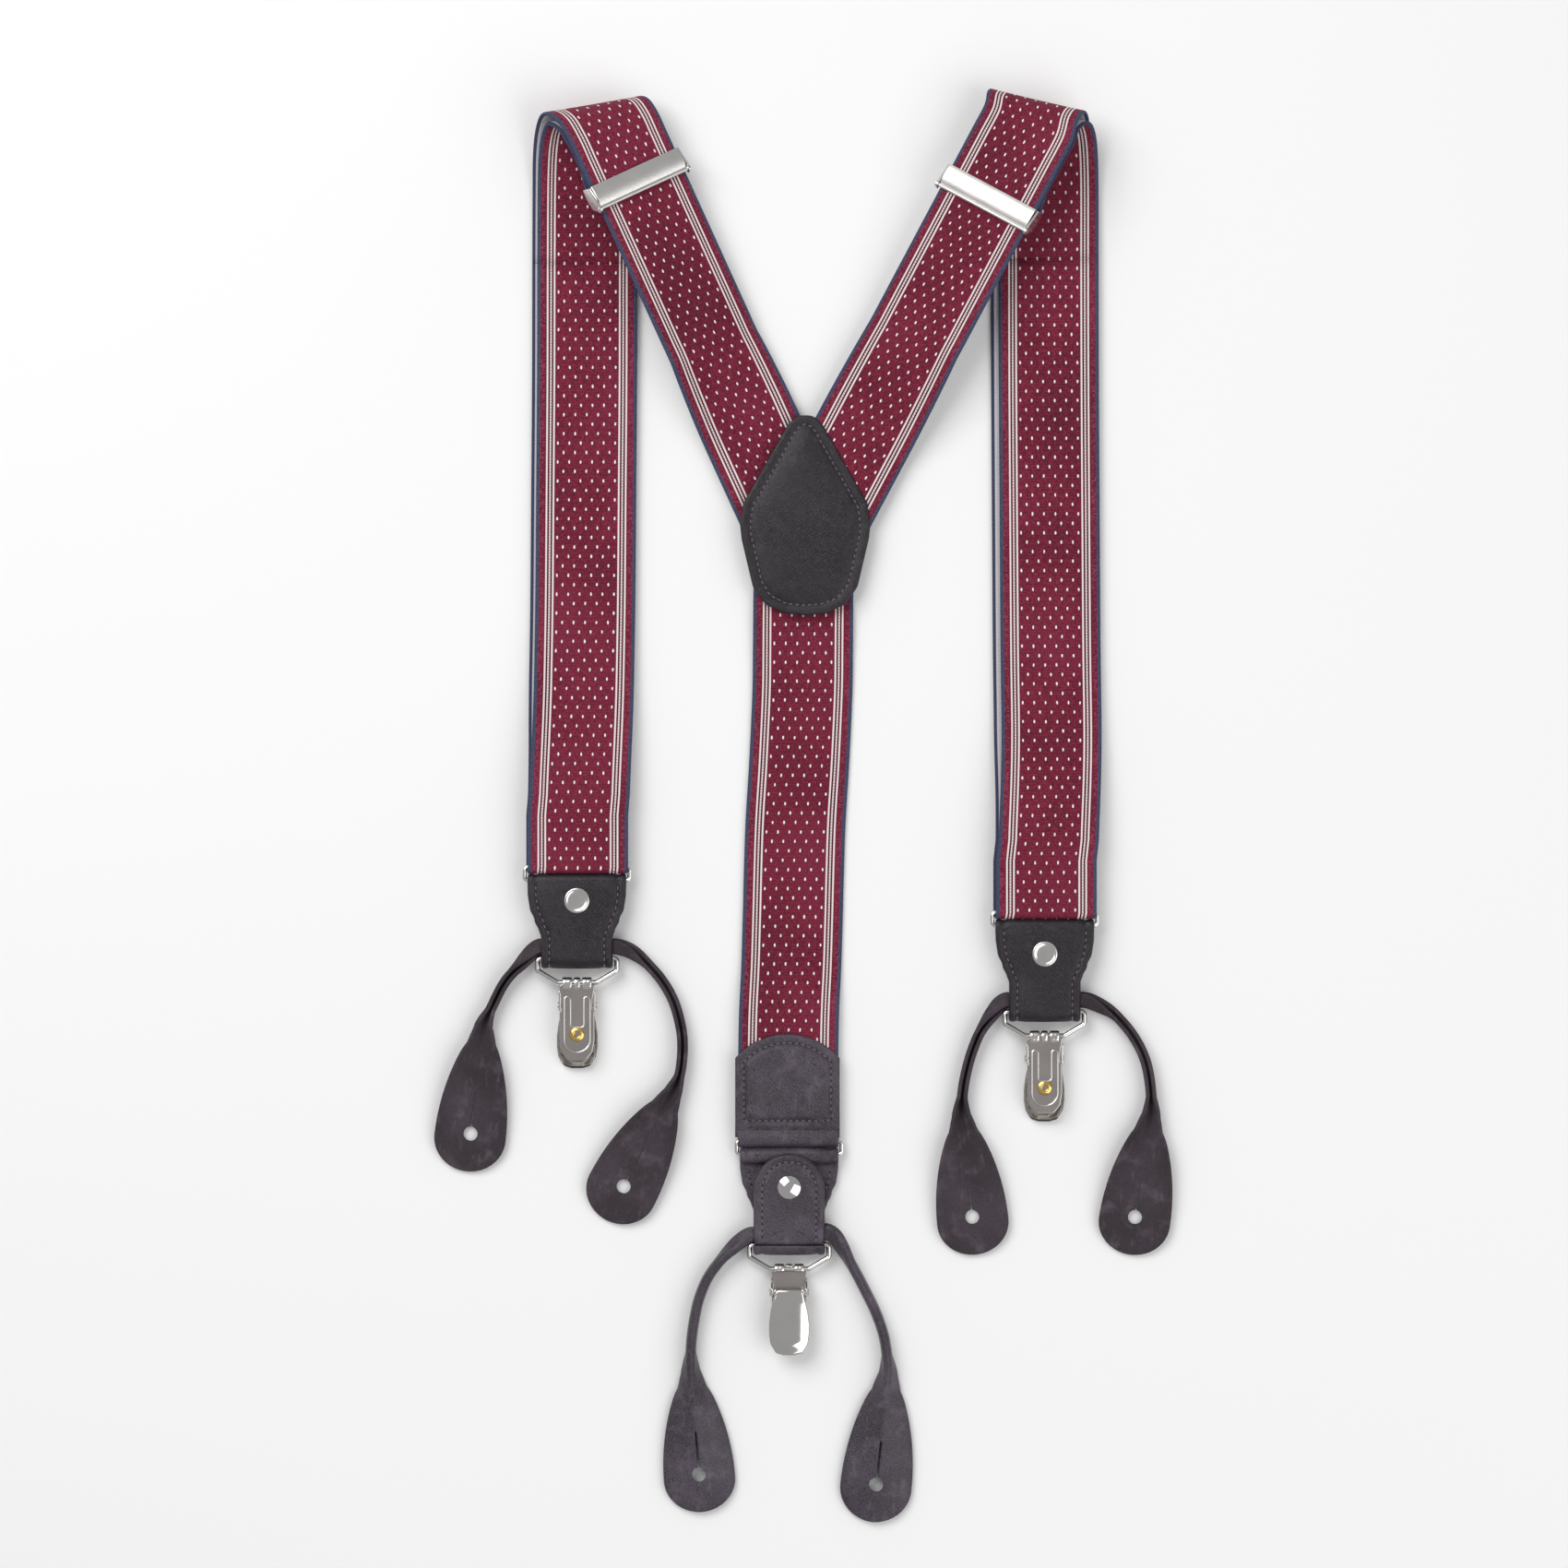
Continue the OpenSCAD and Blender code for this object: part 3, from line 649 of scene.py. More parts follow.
def stitch_tree():
    """Geometry nodes: stitches laid end to end along the edges of a mesh, with a dark dot of painted shade for
    the pin hole at each end
    """
    tree = bpy.data.node_groups.new("stitch_row", "GeometryNodeTree")
    face = tree.interface
    face.new_socket("Geometry", in_out="INPUT", socket_type="NodeSocketGeometry")
    for name in ("Pitch", "Length", "Radius"):
        face.new_socket(name, in_out="INPUT", socket_type="NodeSocketFloat")
    for name in ("Thread", "Pin hole"):
        face.new_socket(name, in_out="INPUT", socket_type="NodeSocketMaterial")
    face.new_socket("Geometry", in_out="OUTPUT", socket_type="NodeSocketGeometry")

    def add(kind, **settings):
        made = tree.nodes.new(kind)
        for key, value in settings.items():
            setattr(made, key, value)
        return made

    start, end = add("NodeGroupInput"), add("NodeGroupOutput")
    to_curve, even = add("GeometryNodeMeshToCurve"), add("GeometryNodeResampleCurve", mode="LENGTH")
    ball = add("GeometryNodeMeshUVSphere")
    ball.inputs["Segments"].default_value = 8
    ball.inputs["Rings"].default_value = 6
    ball.inputs["Radius"].default_value = 1.0
    shape = add("GeometryNodeTransform")
    size = add("ShaderNodeCombineXYZ")
    half = add("ShaderNodeMath", operation="MULTIPLY")
    half.inputs[1].default_value = 0.5
    tangent = add("GeometryNodeInputTangent")
    turn = add("FunctionNodeAlignRotationToVector", axis="X")
    lay = add("GeometryNodeInstanceOnPoints")
    real, finish = add("GeometryNodeRealizeInstances"), add("GeometryNodeSetMaterial")
    step, forward = add("ShaderNodeMath", operation="MULTIPLY"), add("ShaderNodeCombineXYZ")
    step.inputs[1].default_value = 0.5
    # The pin-hole dots: flattened balls that carry the painted shade
    dimple, prick = add("GeometryNodeTransform"), add("GeometryNodeInstanceOnPoints")
    across, depth = (add("ShaderNodeMath", operation="MULTIPLY") for _ in range(2))
    across.inputs[1].default_value = PRICK_WIDE
    depth.inputs[1].default_value = PRICK_DEEP
    flat = add("ShaderNodeCombineXYZ")
    dark, both = add("GeometryNodeSetMaterial"), add("GeometryNodeJoinGeometry")
    link = tree.links.new
    link(start.outputs["Pitch"], step.inputs[0])
    link(step.outputs[0], forward.inputs["X"])
    link(forward.outputs[0], shape.inputs["Translation"])
    for maths in (across, depth):
        link(start.outputs["Radius"], maths.inputs[0])
    link(across.outputs[0], flat.inputs["X"])
    link(across.outputs[0], flat.inputs["Y"])
    link(depth.outputs[0], flat.inputs["Z"])
    link(ball.outputs[0], dimple.inputs["Geometry"])
    link(flat.outputs[0], dimple.inputs["Scale"])
    link(dimple.outputs[0], prick.inputs["Instance"])
    link(even.outputs[0], prick.inputs["Points"])
    link(prick.outputs[0], dark.inputs[0])
    link(start.outputs["Pin hole"], dark.inputs["Material"])
    link(start.outputs["Geometry"], to_curve.inputs[0])
    link(to_curve.outputs[0], even.inputs["Curve"])
    link(start.outputs["Pitch"], even.inputs["Length"])
    link(even.outputs[0], lay.inputs["Points"])
    link(start.outputs["Length"], half.inputs[0])
    link(half.outputs[0], size.inputs["X"])
    link(start.outputs["Radius"], size.inputs["Y"])
    link(start.outputs["Radius"], size.inputs["Z"])
    link(ball.outputs[0], shape.inputs["Geometry"])
    link(size.outputs[0], shape.inputs["Scale"])
    link(shape.outputs[0], lay.inputs["Instance"])
    link(tangent.outputs[0], turn.inputs["Vector"])
    link(turn.outputs[0], lay.inputs["Rotation"])
    link(lay.outputs[0], finish.inputs[0])
    link(start.outputs["Thread"], finish.inputs["Material"])
    link(dark.outputs[0], both.inputs[0])
    link(finish.outputs[0], both.inputs[0])
    link(both.outputs[0], real.inputs[0])
    link(real.outputs[0], end.inputs[0])
    return tree


def sew(name, lines, place, body):
    """Stitches along lines of points, as one mesh that rides on the body"""
    sizes = bpy.context.scene.leather_sizes
    bm = bmesh.new()
    for line, closed in lines:
        verts = [bm.verts.new(p) for p in line]
        for a, b in zip(verts, verts[1:]):
            bm.edges.new((a, b))
        if closed:
            bm.edges.new((verts[-1], verts[0]))
    bm.transform(place)
    bmesh.ops.scale(bm, vec=(MM, MM, MM), verts=bm.verts)
    guide_mesh = bpy.data.meshes.new(name + "_guide")
    bm.to_mesh(guide_mesh)
    bm.free()
    guide = bpy.data.objects.new(name + "_guide", guide_mesh)
    bpy.context.scene.collection.objects.link(guide)
    tree = bpy.data.node_groups.get("stitch_row") or stitch_tree()
    modifier = guide.modifiers.new("stitches", "NODES")
    modifier.node_group = tree
    values = {
        "Pitch": sizes.stitch_pitch,
        "Length": sizes.stitch_length,
        "Radius": sizes.stitch_radius,
        "Thread": MATERIALS["thread"],
        "Pin hole": MATERIALS["pin_hole"],
    }
    for item in tree.interface.items_tree:
        if item.in_out == "INPUT" and item.name in values:
            modifier[item.identifier] = values[item.name]
    graph = bpy.context.evaluated_depsgraph_get()
    mesh = bpy.data.meshes.new_from_object(guide.evaluated_get(graph))
    guide.modifiers.remove(modifier)
    bpy.data.objects.remove(guide)
    for polygon in mesh.polygons:
        polygon.use_smooth = True
    piece = bpy.data.objects.new(name, mesh)
    bpy.context.scene.collection.objects.link(piece)
    settle(piece, body)


# ----------------------------------------------------------- the webbings

# Shoulder routes, from the front split to the fold: x, y, z, turn of the cross
# line about Z, its tilt and the gap to the inner layer, in mm and degrees.
RISE = {
    "left": [
        [-77.9, 4.6, 4.7, 0, 0, 3.2], [-77.4, 24, 3.3, 0, 0, 2.9], [-77, 46, 1.6, 0, 0, 2.3],
        [-76.6, 72, 0.85, 0, 0, 2], [-76.3, 110, 0.75, 0, 0, 1.9], [-76, 150, 0.75, 0, 0, 1.9],
        [-75.9, 190, 0.75, 0, 0, 1.9], [-75.8, 214, 1, 0, -1, 2.1], [-75.6, 230, 3.6, 2, -7, 2.8],
        [-74.8, 240, 7.2, 6, -15, 3.6], [-73.2, 244, 11.6, 11, -20, 3.8],
        [-69.2, 242.4, 16.2, 17, -22, 3.6], [-65.4, 236.4, 18.6, 22, -22, 2.8],
    ],
    "right": [
        [85.4, -11.2, 4.7, 0, 0, 3.2], [85.8, 8, 3.3, 0, 0, 2.9], [85.8, 30, 1.6, 0, 0, 2.3],
        [85.5, 56, 0.85, 0, 0, 2], [85.2, 100, 0.75, 0, 0, 1.9], [84.9, 150, 0.75, 0, 0, 1.9],
        [84.8, 192, 0.75, 0, 0, 1.9], [84.8, 216, 1, 0, 1, 2.1], [84.6, 231, 3.4, -2, 6, 2.8],
        [84, 241, 7.2, -8, 12, 3.6], [82.6, 245.4, 11.6, -14, 16, 3.8],
        [80.2, 243.6, 16.2, -20, 18, 3.6], [78.4, 237.4, 18.6, -25, 18, 2.8],
    ],
}
# Arms: start x, start y, turn, tilt, length, start of the level part, height at the patch
ARM = {"left": (-62, 229, 24.6, -22, 144, 108, 3.4), "right": (74.2, 229.4, -28.1, 18, 150, 113, 4.9)}
ADJUSTER_AT = {"left": 11.7, "right": 20.0}
ARM_Z = 18.5
ARM_FALL = 0.1
EVEN_RUN = 75
CENTRE_ROUTE = [
    [0.8, 112, 1.9], [0.6, 90, 1.9], [0.4, 68, 1.9], [0.3, 54, 1.3], [0.1, 40, 0.8],
    [-1, 16, 0.75], [-2.4, -8, 0.75], [-3.3, -40, 0.8], [-3.8, -56, 1.2], [-4.4, -68, 2.4],
    [-4.7, -78, 2.85], [-4.9, -94, 2.9], [-5, -111, 2.9],
]
# Ends: the ring's upper bar, the run from the ring to the bail and the side that the tab lies on
End = namedtuple("End", "x y z run side")
END = {
    "left": End(-78.5, -20.6, 6.3, 27.3, 1),
    "right": End(84.6, -36.4, 6.3, 30.1, 1),
    "back": End(-4.5, -116.3, 2.9, 31.6, -1),
}
RING_PITCH = 4.6
RING_R = 0.75
BAIL_H = 8.4
FOLD_N = -1.4
SNAP_UP = 20.3
LOOP_UP = 4.0
LAYER_SHIFT = {"left": 0.9, "right": 1.3}
AT_RING = (0.3, 0.45)  # shares of that shift left at the ring, in the lower and the upper layer
STEPS = 8  # rows of a strap's curve from one station to the next
SEAM = 6 * STEPS  # row where the front length meets the shoulder length
RIPPLE = 0.02


def cross_line(turn, tilt):
    """The way across a strap turned about Z and then tilted, in degrees"""
    a, b = math.radians(turn), math.radians(tilt)
    return Vector((math.cos(a) * math.cos(b), math.sin(a) * math.cos(b), math.sin(b)))


def arm_stations(side):
    """Stations along an arm, from the fold to the patch, like those of the rise"""
    x, y, turn, tilt, length, level, low = ARM[side]
    a = math.radians(turn)
    rows = []
    for s in (0, 4, 8, 12, 20, 32, 46, 60, 68, EVEN_RUN, 82, 92, level, 0.5 * (level + length), length):
        fade = 1.0 if s <= EVEN_RUN else max(0.0, 1 - (s - EVEN_RUN) / (level - EVEN_RUN))
        z = ARM_Z - ARM_FALL * s
        if s > EVEN_RUN:
            z = low + (ARM_Z - ARM_FALL * EVEN_RUN - low) * fade
        rows.append([x + s * math.sin(a), y - s * math.cos(a), z, turn, tilt * fade, 1.75])
    return rows


def strap_frames(rows):
    """Centre, cross line and outer normal of the strap at each row, and the gap to the inner layer"""
    frames = []
    for i, row in enumerate(rows):
        a, b = rows[max(i - 1, 0)], rows[min(i + 1, len(rows) - 1)]
        way = Vector([b[k] - a[k] for k in range(3)]).normalized()
        cross = cross_line(row[3], row[4])
        frames.append((Vector(row[:3]), cross, way.cross(cross).normalized(), row[5]))
    return frames


def on_arm(side):
    """Matrix of the adjuster's frame on an arm: X across, Y up the arm, Z off the strap"""
    x, y, turn, tilt, *_ = ARM[side]
    s = ADJUSTER_AT[side]
    a = math.radians(turn)
    up = Vector((-math.sin(a), math.cos(a), ARM_FALL)).normalized()
    off = (-up).cross(cross_line(turn, tilt)).normalized()
    across = up.cross(off)
    place = Matrix((across, up, off)).transposed().to_4x4()
    place.translation = (x + s * math.sin(a), y - s * math.cos(a), ARM_Z - ARM_FALL * s)
    return place


def strap_profile(half, thick):
    """Cross section of the webbing, as (across, off, side): side 0 is the face and 1 the back"""
    edge = thick / 2
    cols = [half - edge * (1 - math.cos(math.radians(a))) for a in (90, 60, 30)]
    across = [-c for c in cols[::-1]] + [half * (k / 7 - 1) * 0.93 for k in range(1, 14)] + cols
    height = [edge * math.sin(math.radians(a)) for a in (30, 60, 90)]
    rise = height + [edge] * 13 + height[::-1]
    face = [(-half, 0.0)] + list(zip(across, rise)) + [(half, 0.0)]
    back = [(x, -z) for x, z in list(zip(across, rise))[::-1]]
    return face + back, len(face) - 1


def ribbon(name, frames, start=0.0):
    """A length of webbing along frames of (centre, cross line, face normal), and where its run ends"""
    sizes = bpy.context.scene.webbing_sizes
    half = sizes.width / MM / 2
    section, face_count = strap_profile(half, sizes.thickness / MM)
    rings, uvs = [], []
    run = start
    for i, (centre, cross, off) in enumerate(frames):
        if i:
            run += (centre - frames[i - 1][0]).length
        ripple = RIPPLE * (math.sin(run * 0.21) + math.sin(run * 0.083))
        rings.append([centre + cross * x + off * (z + ripple * (1 - (x / half) ** 2)) for x, z in section])
        uvs.append([(x, run) for x, z in section])
    both = [MATERIALS["face"], MATERIALS["back"]]
    return loft(name, rings, both, lambda j: int(j >= face_count), uvs), run


def strap_path(side):
    """The whole shoulder strap from the patch to its sewn end: lists of frames for each of its lengths"""
    x0, y0, z0, *_ = END[side]
    frames = strap_frames(curve_through(RISE[side] + arm_stations(side), STEPS))
    arm_start = len(RISE[side]) * STEPS
    shift = LAYER_SHIFT[side]
    low_share, high_share = AT_RING

    def lower(i):
        p, b, n, _ = frames[i]
        return (p - b * shift * (low_share + (1 - low_share) * ease(i / 16)), b, n)

    def upper(i):
        p, b, n, gap = frames[i]
        fade = (high_share + (1 - high_share) * ease(i / 16)) * (1 - ease((i - 72) / 24))
        return (p - n * gap + b * shift * fade, b, -n)

    shoulder = []
    for i in range(len(frames) - 1, SEAM - 1, -1):
        p, b, n, _ = frames[i]
        shoulder.append((p - b * shift * (1 - ease((i - 60) / 36)), b, n))

    front = [lower(i) for i in range(SEAM, -1, -1)]
    cross = Vector((1, 0, 0))
    radius = RING_R + 0.15 + 0.7
    low_x, high_x = x0 - low_share * shift, x0 + high_share * shift
    front += [
        (Vector((low_x, y0 + d, z0 - radius)), cross, Vector((0, 0, -1))) for d in (18, 12, 6)
    ]
    for k in range(13):
        a = math.pi * k / 12
        off = Vector((0, -math.sin(a), -math.cos(a)))
        x = low_x + (high_x - low_x) * k / 12
        front.append((Vector((x, y0, z0)) + off * radius, cross, off))
    front += [(Vector((high_x, y0 + d, z0 + radius)), cross, Vector((0, 0, 1))) for d in (6, 12, 18)]
    front += [upper(i) for i in range(0, SEAM + 1)]

    inner = [upper(i) for i in range(SEAM, arm_start - 3)]

    arm = on_arm(side)
    turn = arm.to_3x3()
    across = turn @ Vector((1, 0, 0))
    bar, wrap = Vector((0, 2.4, -3.3)), 1.7
    tail = [upper(arm_start - 4)]
    for y in (9.5, 7, 4.5, bar.y):
        tail.append((arm @ Vector((0, y, bar.z + wrap)), across, -(turn @ Vector((0, 0, 1)))))
    for k in range(1, 9):
        a = math.pi * k / 8
        off = Vector((0, -math.sin(a), math.cos(a)))
        tail.append((arm @ (bar + off * wrap), across, -(turn @ off)))
    for y, n in ((4.4, -4.95), (6.2, -4.3), (8.2, -3.3), (9.6, -2.95)):
        tail.append((arm @ Vector((0, y, n)), across, -(turn @ Vector((0, 0.3, -1)).normalized())))
    return shoulder, front, inner, tail


# The four lengths of a shoulder strap, and the node that each stands for
LENGTHS = {"shoulder": "webbing", "front": "webbing_end", "inner": "tail", "tail": "tail_hem"}


class SUSPENDERS_OT_shoulder_straps(bpy.types.Operator):
    """Weaves the two shoulder straps, each in four lengths"""

    bl_idname = "suspenders.shoulder_straps"
    bl_label = "Shoulder straps"

    def execute(self, context):
        for side in SIDES:
            run = 0.0
            made = {}
            for (label, node), frames in zip(LENGTHS.items(), strap_path(side)):
                before = run
                piece, run = ribbon(f"{side}_{label}_length", frames, run)
                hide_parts(f"{side}_{node}")
                (run - before) * MM
                made[label] = piece
            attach(made["shoulder"], "root")
            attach(made["inner"], "root")
            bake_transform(made["front"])
            arm = on_arm(side)
            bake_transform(made["tail"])
        return {"FINISHED"}


class SUSPENDERS_OT_centre_strap(bpy.types.Operator):
    """Weaves the strap that runs down the back"""

    bl_idname = "suspenders.centre_strap"
    bl_label = "Centre strap"

    def execute(self, context):
        rows = curve_through([p + [0, 0, 0] for p in CENTRE_ROUTE], STEPS)
        frames = [(p, b, n if n.z > 0 else -n) for p, b, n, _ in strap_frames(rows)]
        piece, length = ribbon("centre_strap", frames)
        length * MM
        settle(piece, "root", "centre_webbing")
        return {"FINISHED"}


# ------------------------------------------------------------ the leather


def arc(cx, cy, radius, start, stop, steps):
    """Points on a circle, from one angle to another in degrees"""
    angles = [math.radians(start + (stop - start) * k / steps) for k in range(steps + 1)]
    return [(cx + radius * math.cos(a), cy + radius * math.sin(a)) for a in angles]


def fine_outline(corners, radius, step=1.2):
    """An outline with rounded corners and evenly spaced points"""
    out = []
    count = len(corners)
    for i in range(count):
        here = Vector(corners[i])
        come = here - Vector(corners[i - 1])
        leave = Vector(corners[(i + 1) % count]) - here
        before, after = come.normalized(), leave.normalized()
        turn = math.acos(max(-1, min(1, before.dot(after))))
        reach = min(radius * math.tan(turn / 2), come.length * 0.48, leave.length * 0.48)
        a, b = here - before * reach, here + after * reach
        bends = max(2, int(turn / 0.12))
        for k in range(bends + 1):
            t = k / bends
            out.append(a * (1 - t) ** 2 + here * 2 * t * (1 - t) + b * t**2)
    even = []
    for i, here in enumerate(out):
        ahead = out[(i + 1) % len(out)]
        pieces = max(1, int((ahead - here).length / step))
        even += [here + (ahead - here) * k / pieces for k in range(pieces)]
    return [(p.x, p.y) for p in even]


def segment_heart(low, high):
    """Heart of an outline whose rings close on the Y axis between two heights"""
    return lambda x, y: (0.0, min(max(y, low), high))


PATCH = [
    (2.8, 35.2), (6.2, 31.8), (21.7, 4.5), (22.7, -3.5), (22.2, -8), (18.3, -24.6), (14, -30.8),
    (7.2, -33.9), (0, -34.6),
]
PATCH_CENTRE = (1.1, 101.8)
PATCH_SEAM = 3.5  # distance of the stitches from the edge


def heights(node):
    """Lowest and highest point of a node, in millimetres"""
    low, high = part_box(node)
    return low.z / MM, high.z / MM


class SUSPENDERS_OT_patch(bpy.types.Operator):
    """Cuts, rolls and sews the two leathers of the crosspatch"""

    bl_idname = "suspenders.patch"
    bl_label = "Crosspatch"

    def execute(self, context):
        corners = PATCH + [(-x, y) for x, y in PATCH[::-1] if x]
        outline = fine_outline(corners, 5.0)
        heart = segment_heart(-20, 22)
        low, high = heights("patch_top")
        half = (high - low) / 2
        place = Matrix.Translation((*PATCH_CENTRE, 0))

        def top(x, y, inset):
            cushion = 0.35 * ease((inset - 4) / 8)
            return high - round_edge(inset, half) + rim(inset, PATCH_SEAM, 0.3, 0.35) + cushion

        def bottom(x, y, inset):
            return low + round_edge(inset, half)

        piece = pad("crosspatch_face", outline, heart, top, bottom, MATERIALS["leather"], place)
        settle(piece, "root", "patch_top")
        seam = along_outline(outline, PATCH_SEAM)
        line = [(p.x, p.y, top(0, 0, PATCH_SEAM) + 0.1) for p in seam]
        sew("crosspatch_stitches", [(line, True)], place, "root")

        floor_low, floor_high = heights("patch_back")

        def under(x, y, inset):
            groove = 0.25 * math.exp(-(((inset - PATCH_SEAM) / 0.55) ** 2))
            return floor_low + round_edge(inset, half) + groove

        piece = pad(
            "crosspatch_back", outline, heart, lambda x, y, d: floor_high - round_edge(d, half), under,
            MATERIALS["leather"], place,
        )
        settle(piece, "root", "patch_back")
        line = [(p.x, p.y, floor_low + 0.18) for p in seam]
        sew("crosspatch_back_stitches", [(line, True)], place, "root")
        return {"FINISHED"}


def at_ring(end, y=0.0):
    """Frame of an end at its ring's bar, turned tab side up to the side that the end lies on"""
    here = END[end]
    turn = Matrix.Identity(4) if here.side > 0 else Matrix.Rotation(math.pi, 4, "Y")
    return Matrix.Translation((here.x, here.y + y, here.z)) @ turn


def at_bail(end):
    """Frame of an end at the bail's bar"""
    return at_ring(end, -RING_PITCH - END[end].run)


def at_clip(end):
    """Frame of an end at the clip's hooks"""
    return at_bail(end) @ Matrix.Translation((0, -BAIL_H, FOLD_N))


STRIP_INSETS = [0, 0.08, 0.22, 0.45, 0.8, 1.2, 1.7, 2.2, 2.55, 2.9, 3.25, 3.7, 4.4, 5.6]
TAB_SEAM = 2.9


def strip(name, stations, material, place, groove=0.22, crown=0.25):
    """A leather strip through (y, n, half width, thickness) rows in the Y-N plane; its first side is
    on the left of its way"""
    rings = []
    least = min(row[2] for row in stations)
    insets = [d for d in STRIP_INSETS if d < least]
    for i, (y, n, half, thick) in enumerate(stations):
        a, b = stations[max(i - 1, 0)], stations[min(i + 1, len(stations) - 1)]
        way = Vector((b[0] - a[0], b[1] - a[1])).normalized()
        off = Vector((-way.y, way.x))
        cols = [(-half + d, d) for d in insets] + [(0.0, half)] + [(half - d, d) for d in insets[::-1]]
        edge = thick / 2
        ring = []
        for x, d in cols:
            z = edge - round_edge(d, edge) + rim(d, TAB_SEAM, groove, crown) * min(1, d / 0.5)
            ring.append((x, y + off.x * z, n + off.y * z))
        for x, d in cols[::-1][1:-1]:
            z = -edge + round_edge(d, edge)
            ring.append((x, y + off.x * z, n + off.y * z))
        rings.append(ring)
    rings = [[place @ Vector(p) for p in ring] for ring in rings]
    return loft(name, rings, [material])


# The end tab: its thickness, the radius of its fold, and half widths at distances below the ring's bar
TAB_T = 2.1
TAB_FOLD_R = 2.55
TAB_N = FOLD_N + TAB_FOLD_R
TAB_BAR = RING_R + 0.1 + 0.675
TAB_ROLL_T = 1.35
TAB_SHAPE = ((0, 17.2), (-5, 17.2), (-9.5, 16.5), (-14, 14.8), (-17.6, 13.3), (-19.4, 12.5))
TAB_TOP_HALF, TAB_HALF = TAB_SHAPE[0][1], TAB_SHAPE[-1][1]
# The snap flap
FLAP_HALF = 12.3
FLAP_LENGTH = 31.0
FLAP_FOOT = 0.15
FLAP_HIGH = FOLD_N - 1.5


def tab_half_width(y):
    """Half width of an end tab at a height, with the ring's bar at 0"""
    for (ya, wa), (yb, wb) in zip(TAB_SHAPE, TAB_SHAPE[1:]):
        if y >= yb:
            share = (y - yb) / (ya - yb)
            return wb + (wa - wb) * (ease(share) if abs(wa - wb) > 1 else share)
    return TAB_HALF


def tab_height(y):
    """Height of a tab's middle skin, which comes off the ring's bar and runs level"""
    return blend_values(-y, 0.5, 5.0, TAB_BAR, TAB_N)


class SUSPENDERS_OT_tabs(bpy.types.Operator):
    """Cuts and sews the leather tabs and the snap flaps of the three ends"""

    bl_idname = "suspenders.tabs"
    bl_label = "End tabs"

    def execute(self, context):
        for end in ENDS:
            self.tab(end)
            self.flap(end)
        return {"FINISHED"}

    def tab(self, end):
        """The tab, rolled round the ring and folded round the bail, and its side seams"""
        run = END[end].run
        # The back tab wears the leather that is painted paler for the light on the back end
        hide = MATERIALS["pale_leather" if end == "back" else "leather"]
        rows = [(-2.9, 0.05 - TAB_BAR, TAB_TOP_HALF, 1.05), (-1.5, -TAB_BAR, TAB_TOP_HALF, 1.3)]
        rows += [(y, n, TAB_TOP_HALF, TAB_ROLL_T) for y, n in arc(0, 0, TAB_BAR, -90, 90, 12)]
        y = -0.8
        while y > -run:
            thick = blend_values(-y, 0.5, 4.0, TAB_ROLL_T, TAB_T)
            rows.append((y, tab_height(y), tab_half_width(y), thick))
            y -= 0.9
        for k in range(15):
            a = math.radians(90 + 180 * k / 14)
            slim = ease(k / 4)
            bend = TAB_FOLD_R - 0.14 * slim
            y, n = -run + bend * math.cos(a), FOLD_N + bend * math.sin(a)
            rows.append((y, n, TAB_HALF, TAB_T - 0.24 * slim))
        place = at_ring(end, -RING_PITCH)
        piece = strip(end + "_leather_tab", rows[::-1], hide, place)
        settle(piece, end + "_tab", end + "_tab")

        lines = []
        for side in (-1, 1):
            top, under = [], []
            y = -1.5
            while y > -run - 1.6:
                x = side * (tab_half_width(y) - TAB_SEAM)
                lift = blend_values(-y, 0.5, 4.0, TAB_ROLL_T / 2, TAB_T / 2) + 0.02
                drop = TAB_FOLD_R * (1 - math.sqrt(max(0, 1 - (min(0, y + run) / 3.6) ** 2)))
                top.append((x, y, tab_height(y) + lift - drop))
                under.append((x, y, tab_height(y) - lift))
                y -= 0.8
            lines += [(top, False), (under[6:-3], False)]
        sew(end + "_tab_stitches", lines, place, end + "_tab")

    def flap(self, end):
        """The round-ended flap that snaps onto the tab, and its seam"""
        edge = TAB_T / 2
        mid = FLAP_HIGH - edge
        straight = FLAP_FOOT + edge + FLAP_LENGTH - TAB_HALF
        right = [(FLAP_HALF, FLAP_FOOT + 2.4 * k) for k in range(9) if FLAP_FOOT + 2.4 * k < straight]
        outline = right + arc(0, straight, FLAP_HALF, 0, 180, 44) + [(-x, y) for x, y in right[::-1]]
        outline += [(FLAP_HALF * (k / 6 - 1), FLAP_FOOT) for k in range(1, 12)]

        def from_side(x, y):
            return FLAP_HALF - (abs(x) if y < straight else math.hypot(x, y - straight))

        def outer(x, y, inset=0):
            d = max(from_side(x, y), 0.0)
            fall = round_edge(y - FLAP_FOOT, 1.3)
            return mid - edge + round_edge(d, edge) + fall - rim(d, TAB_SEAM, 0.22, 0.2) * min(1, d / 0.5)

        def inner(x, y, inset=0):
            return mid + edge - round_edge(max(from_side(x, y), 0.0), edge)

        place = at_bail(end)
        piece = pad(
            end + "_leather_flap", outline, segment_heart(6.5, straight), inner, outer,
            # The back flap wears the leather that is painted paler for the light on the back end
            MATERIALS["pale_leather" if end == "back" else "leather"], place,
        )
        settle(piece, end + "_flap", end + "_flap")

        half = FLAP_HALF - TAB_SEAM
        rows = [3 + 0.9 * k for k in range(int((straight - 3) / 0.9) + 1)]
        seam = [(half, y) for y in rows] + arc(0, straight, half, 0, 180, 36)
        seam += [(-half, y) for y in rows[::-1]]
        line = [(x, y, outer(x, y) - 0.05) for x, y in seam]
        sew(end + "_flap_stitches", [(line, False)], place, end + "_flap")


# The domed leather: its rings, and how far its seam and the row across its foot are from the edges
CAP_INSETS = INSETS[:-1] + [5.5, 5.8, 6.1, 6.5, 7.0, 7.6]
CAP_SEAM = 3.1
CAP_ROW = 7.2


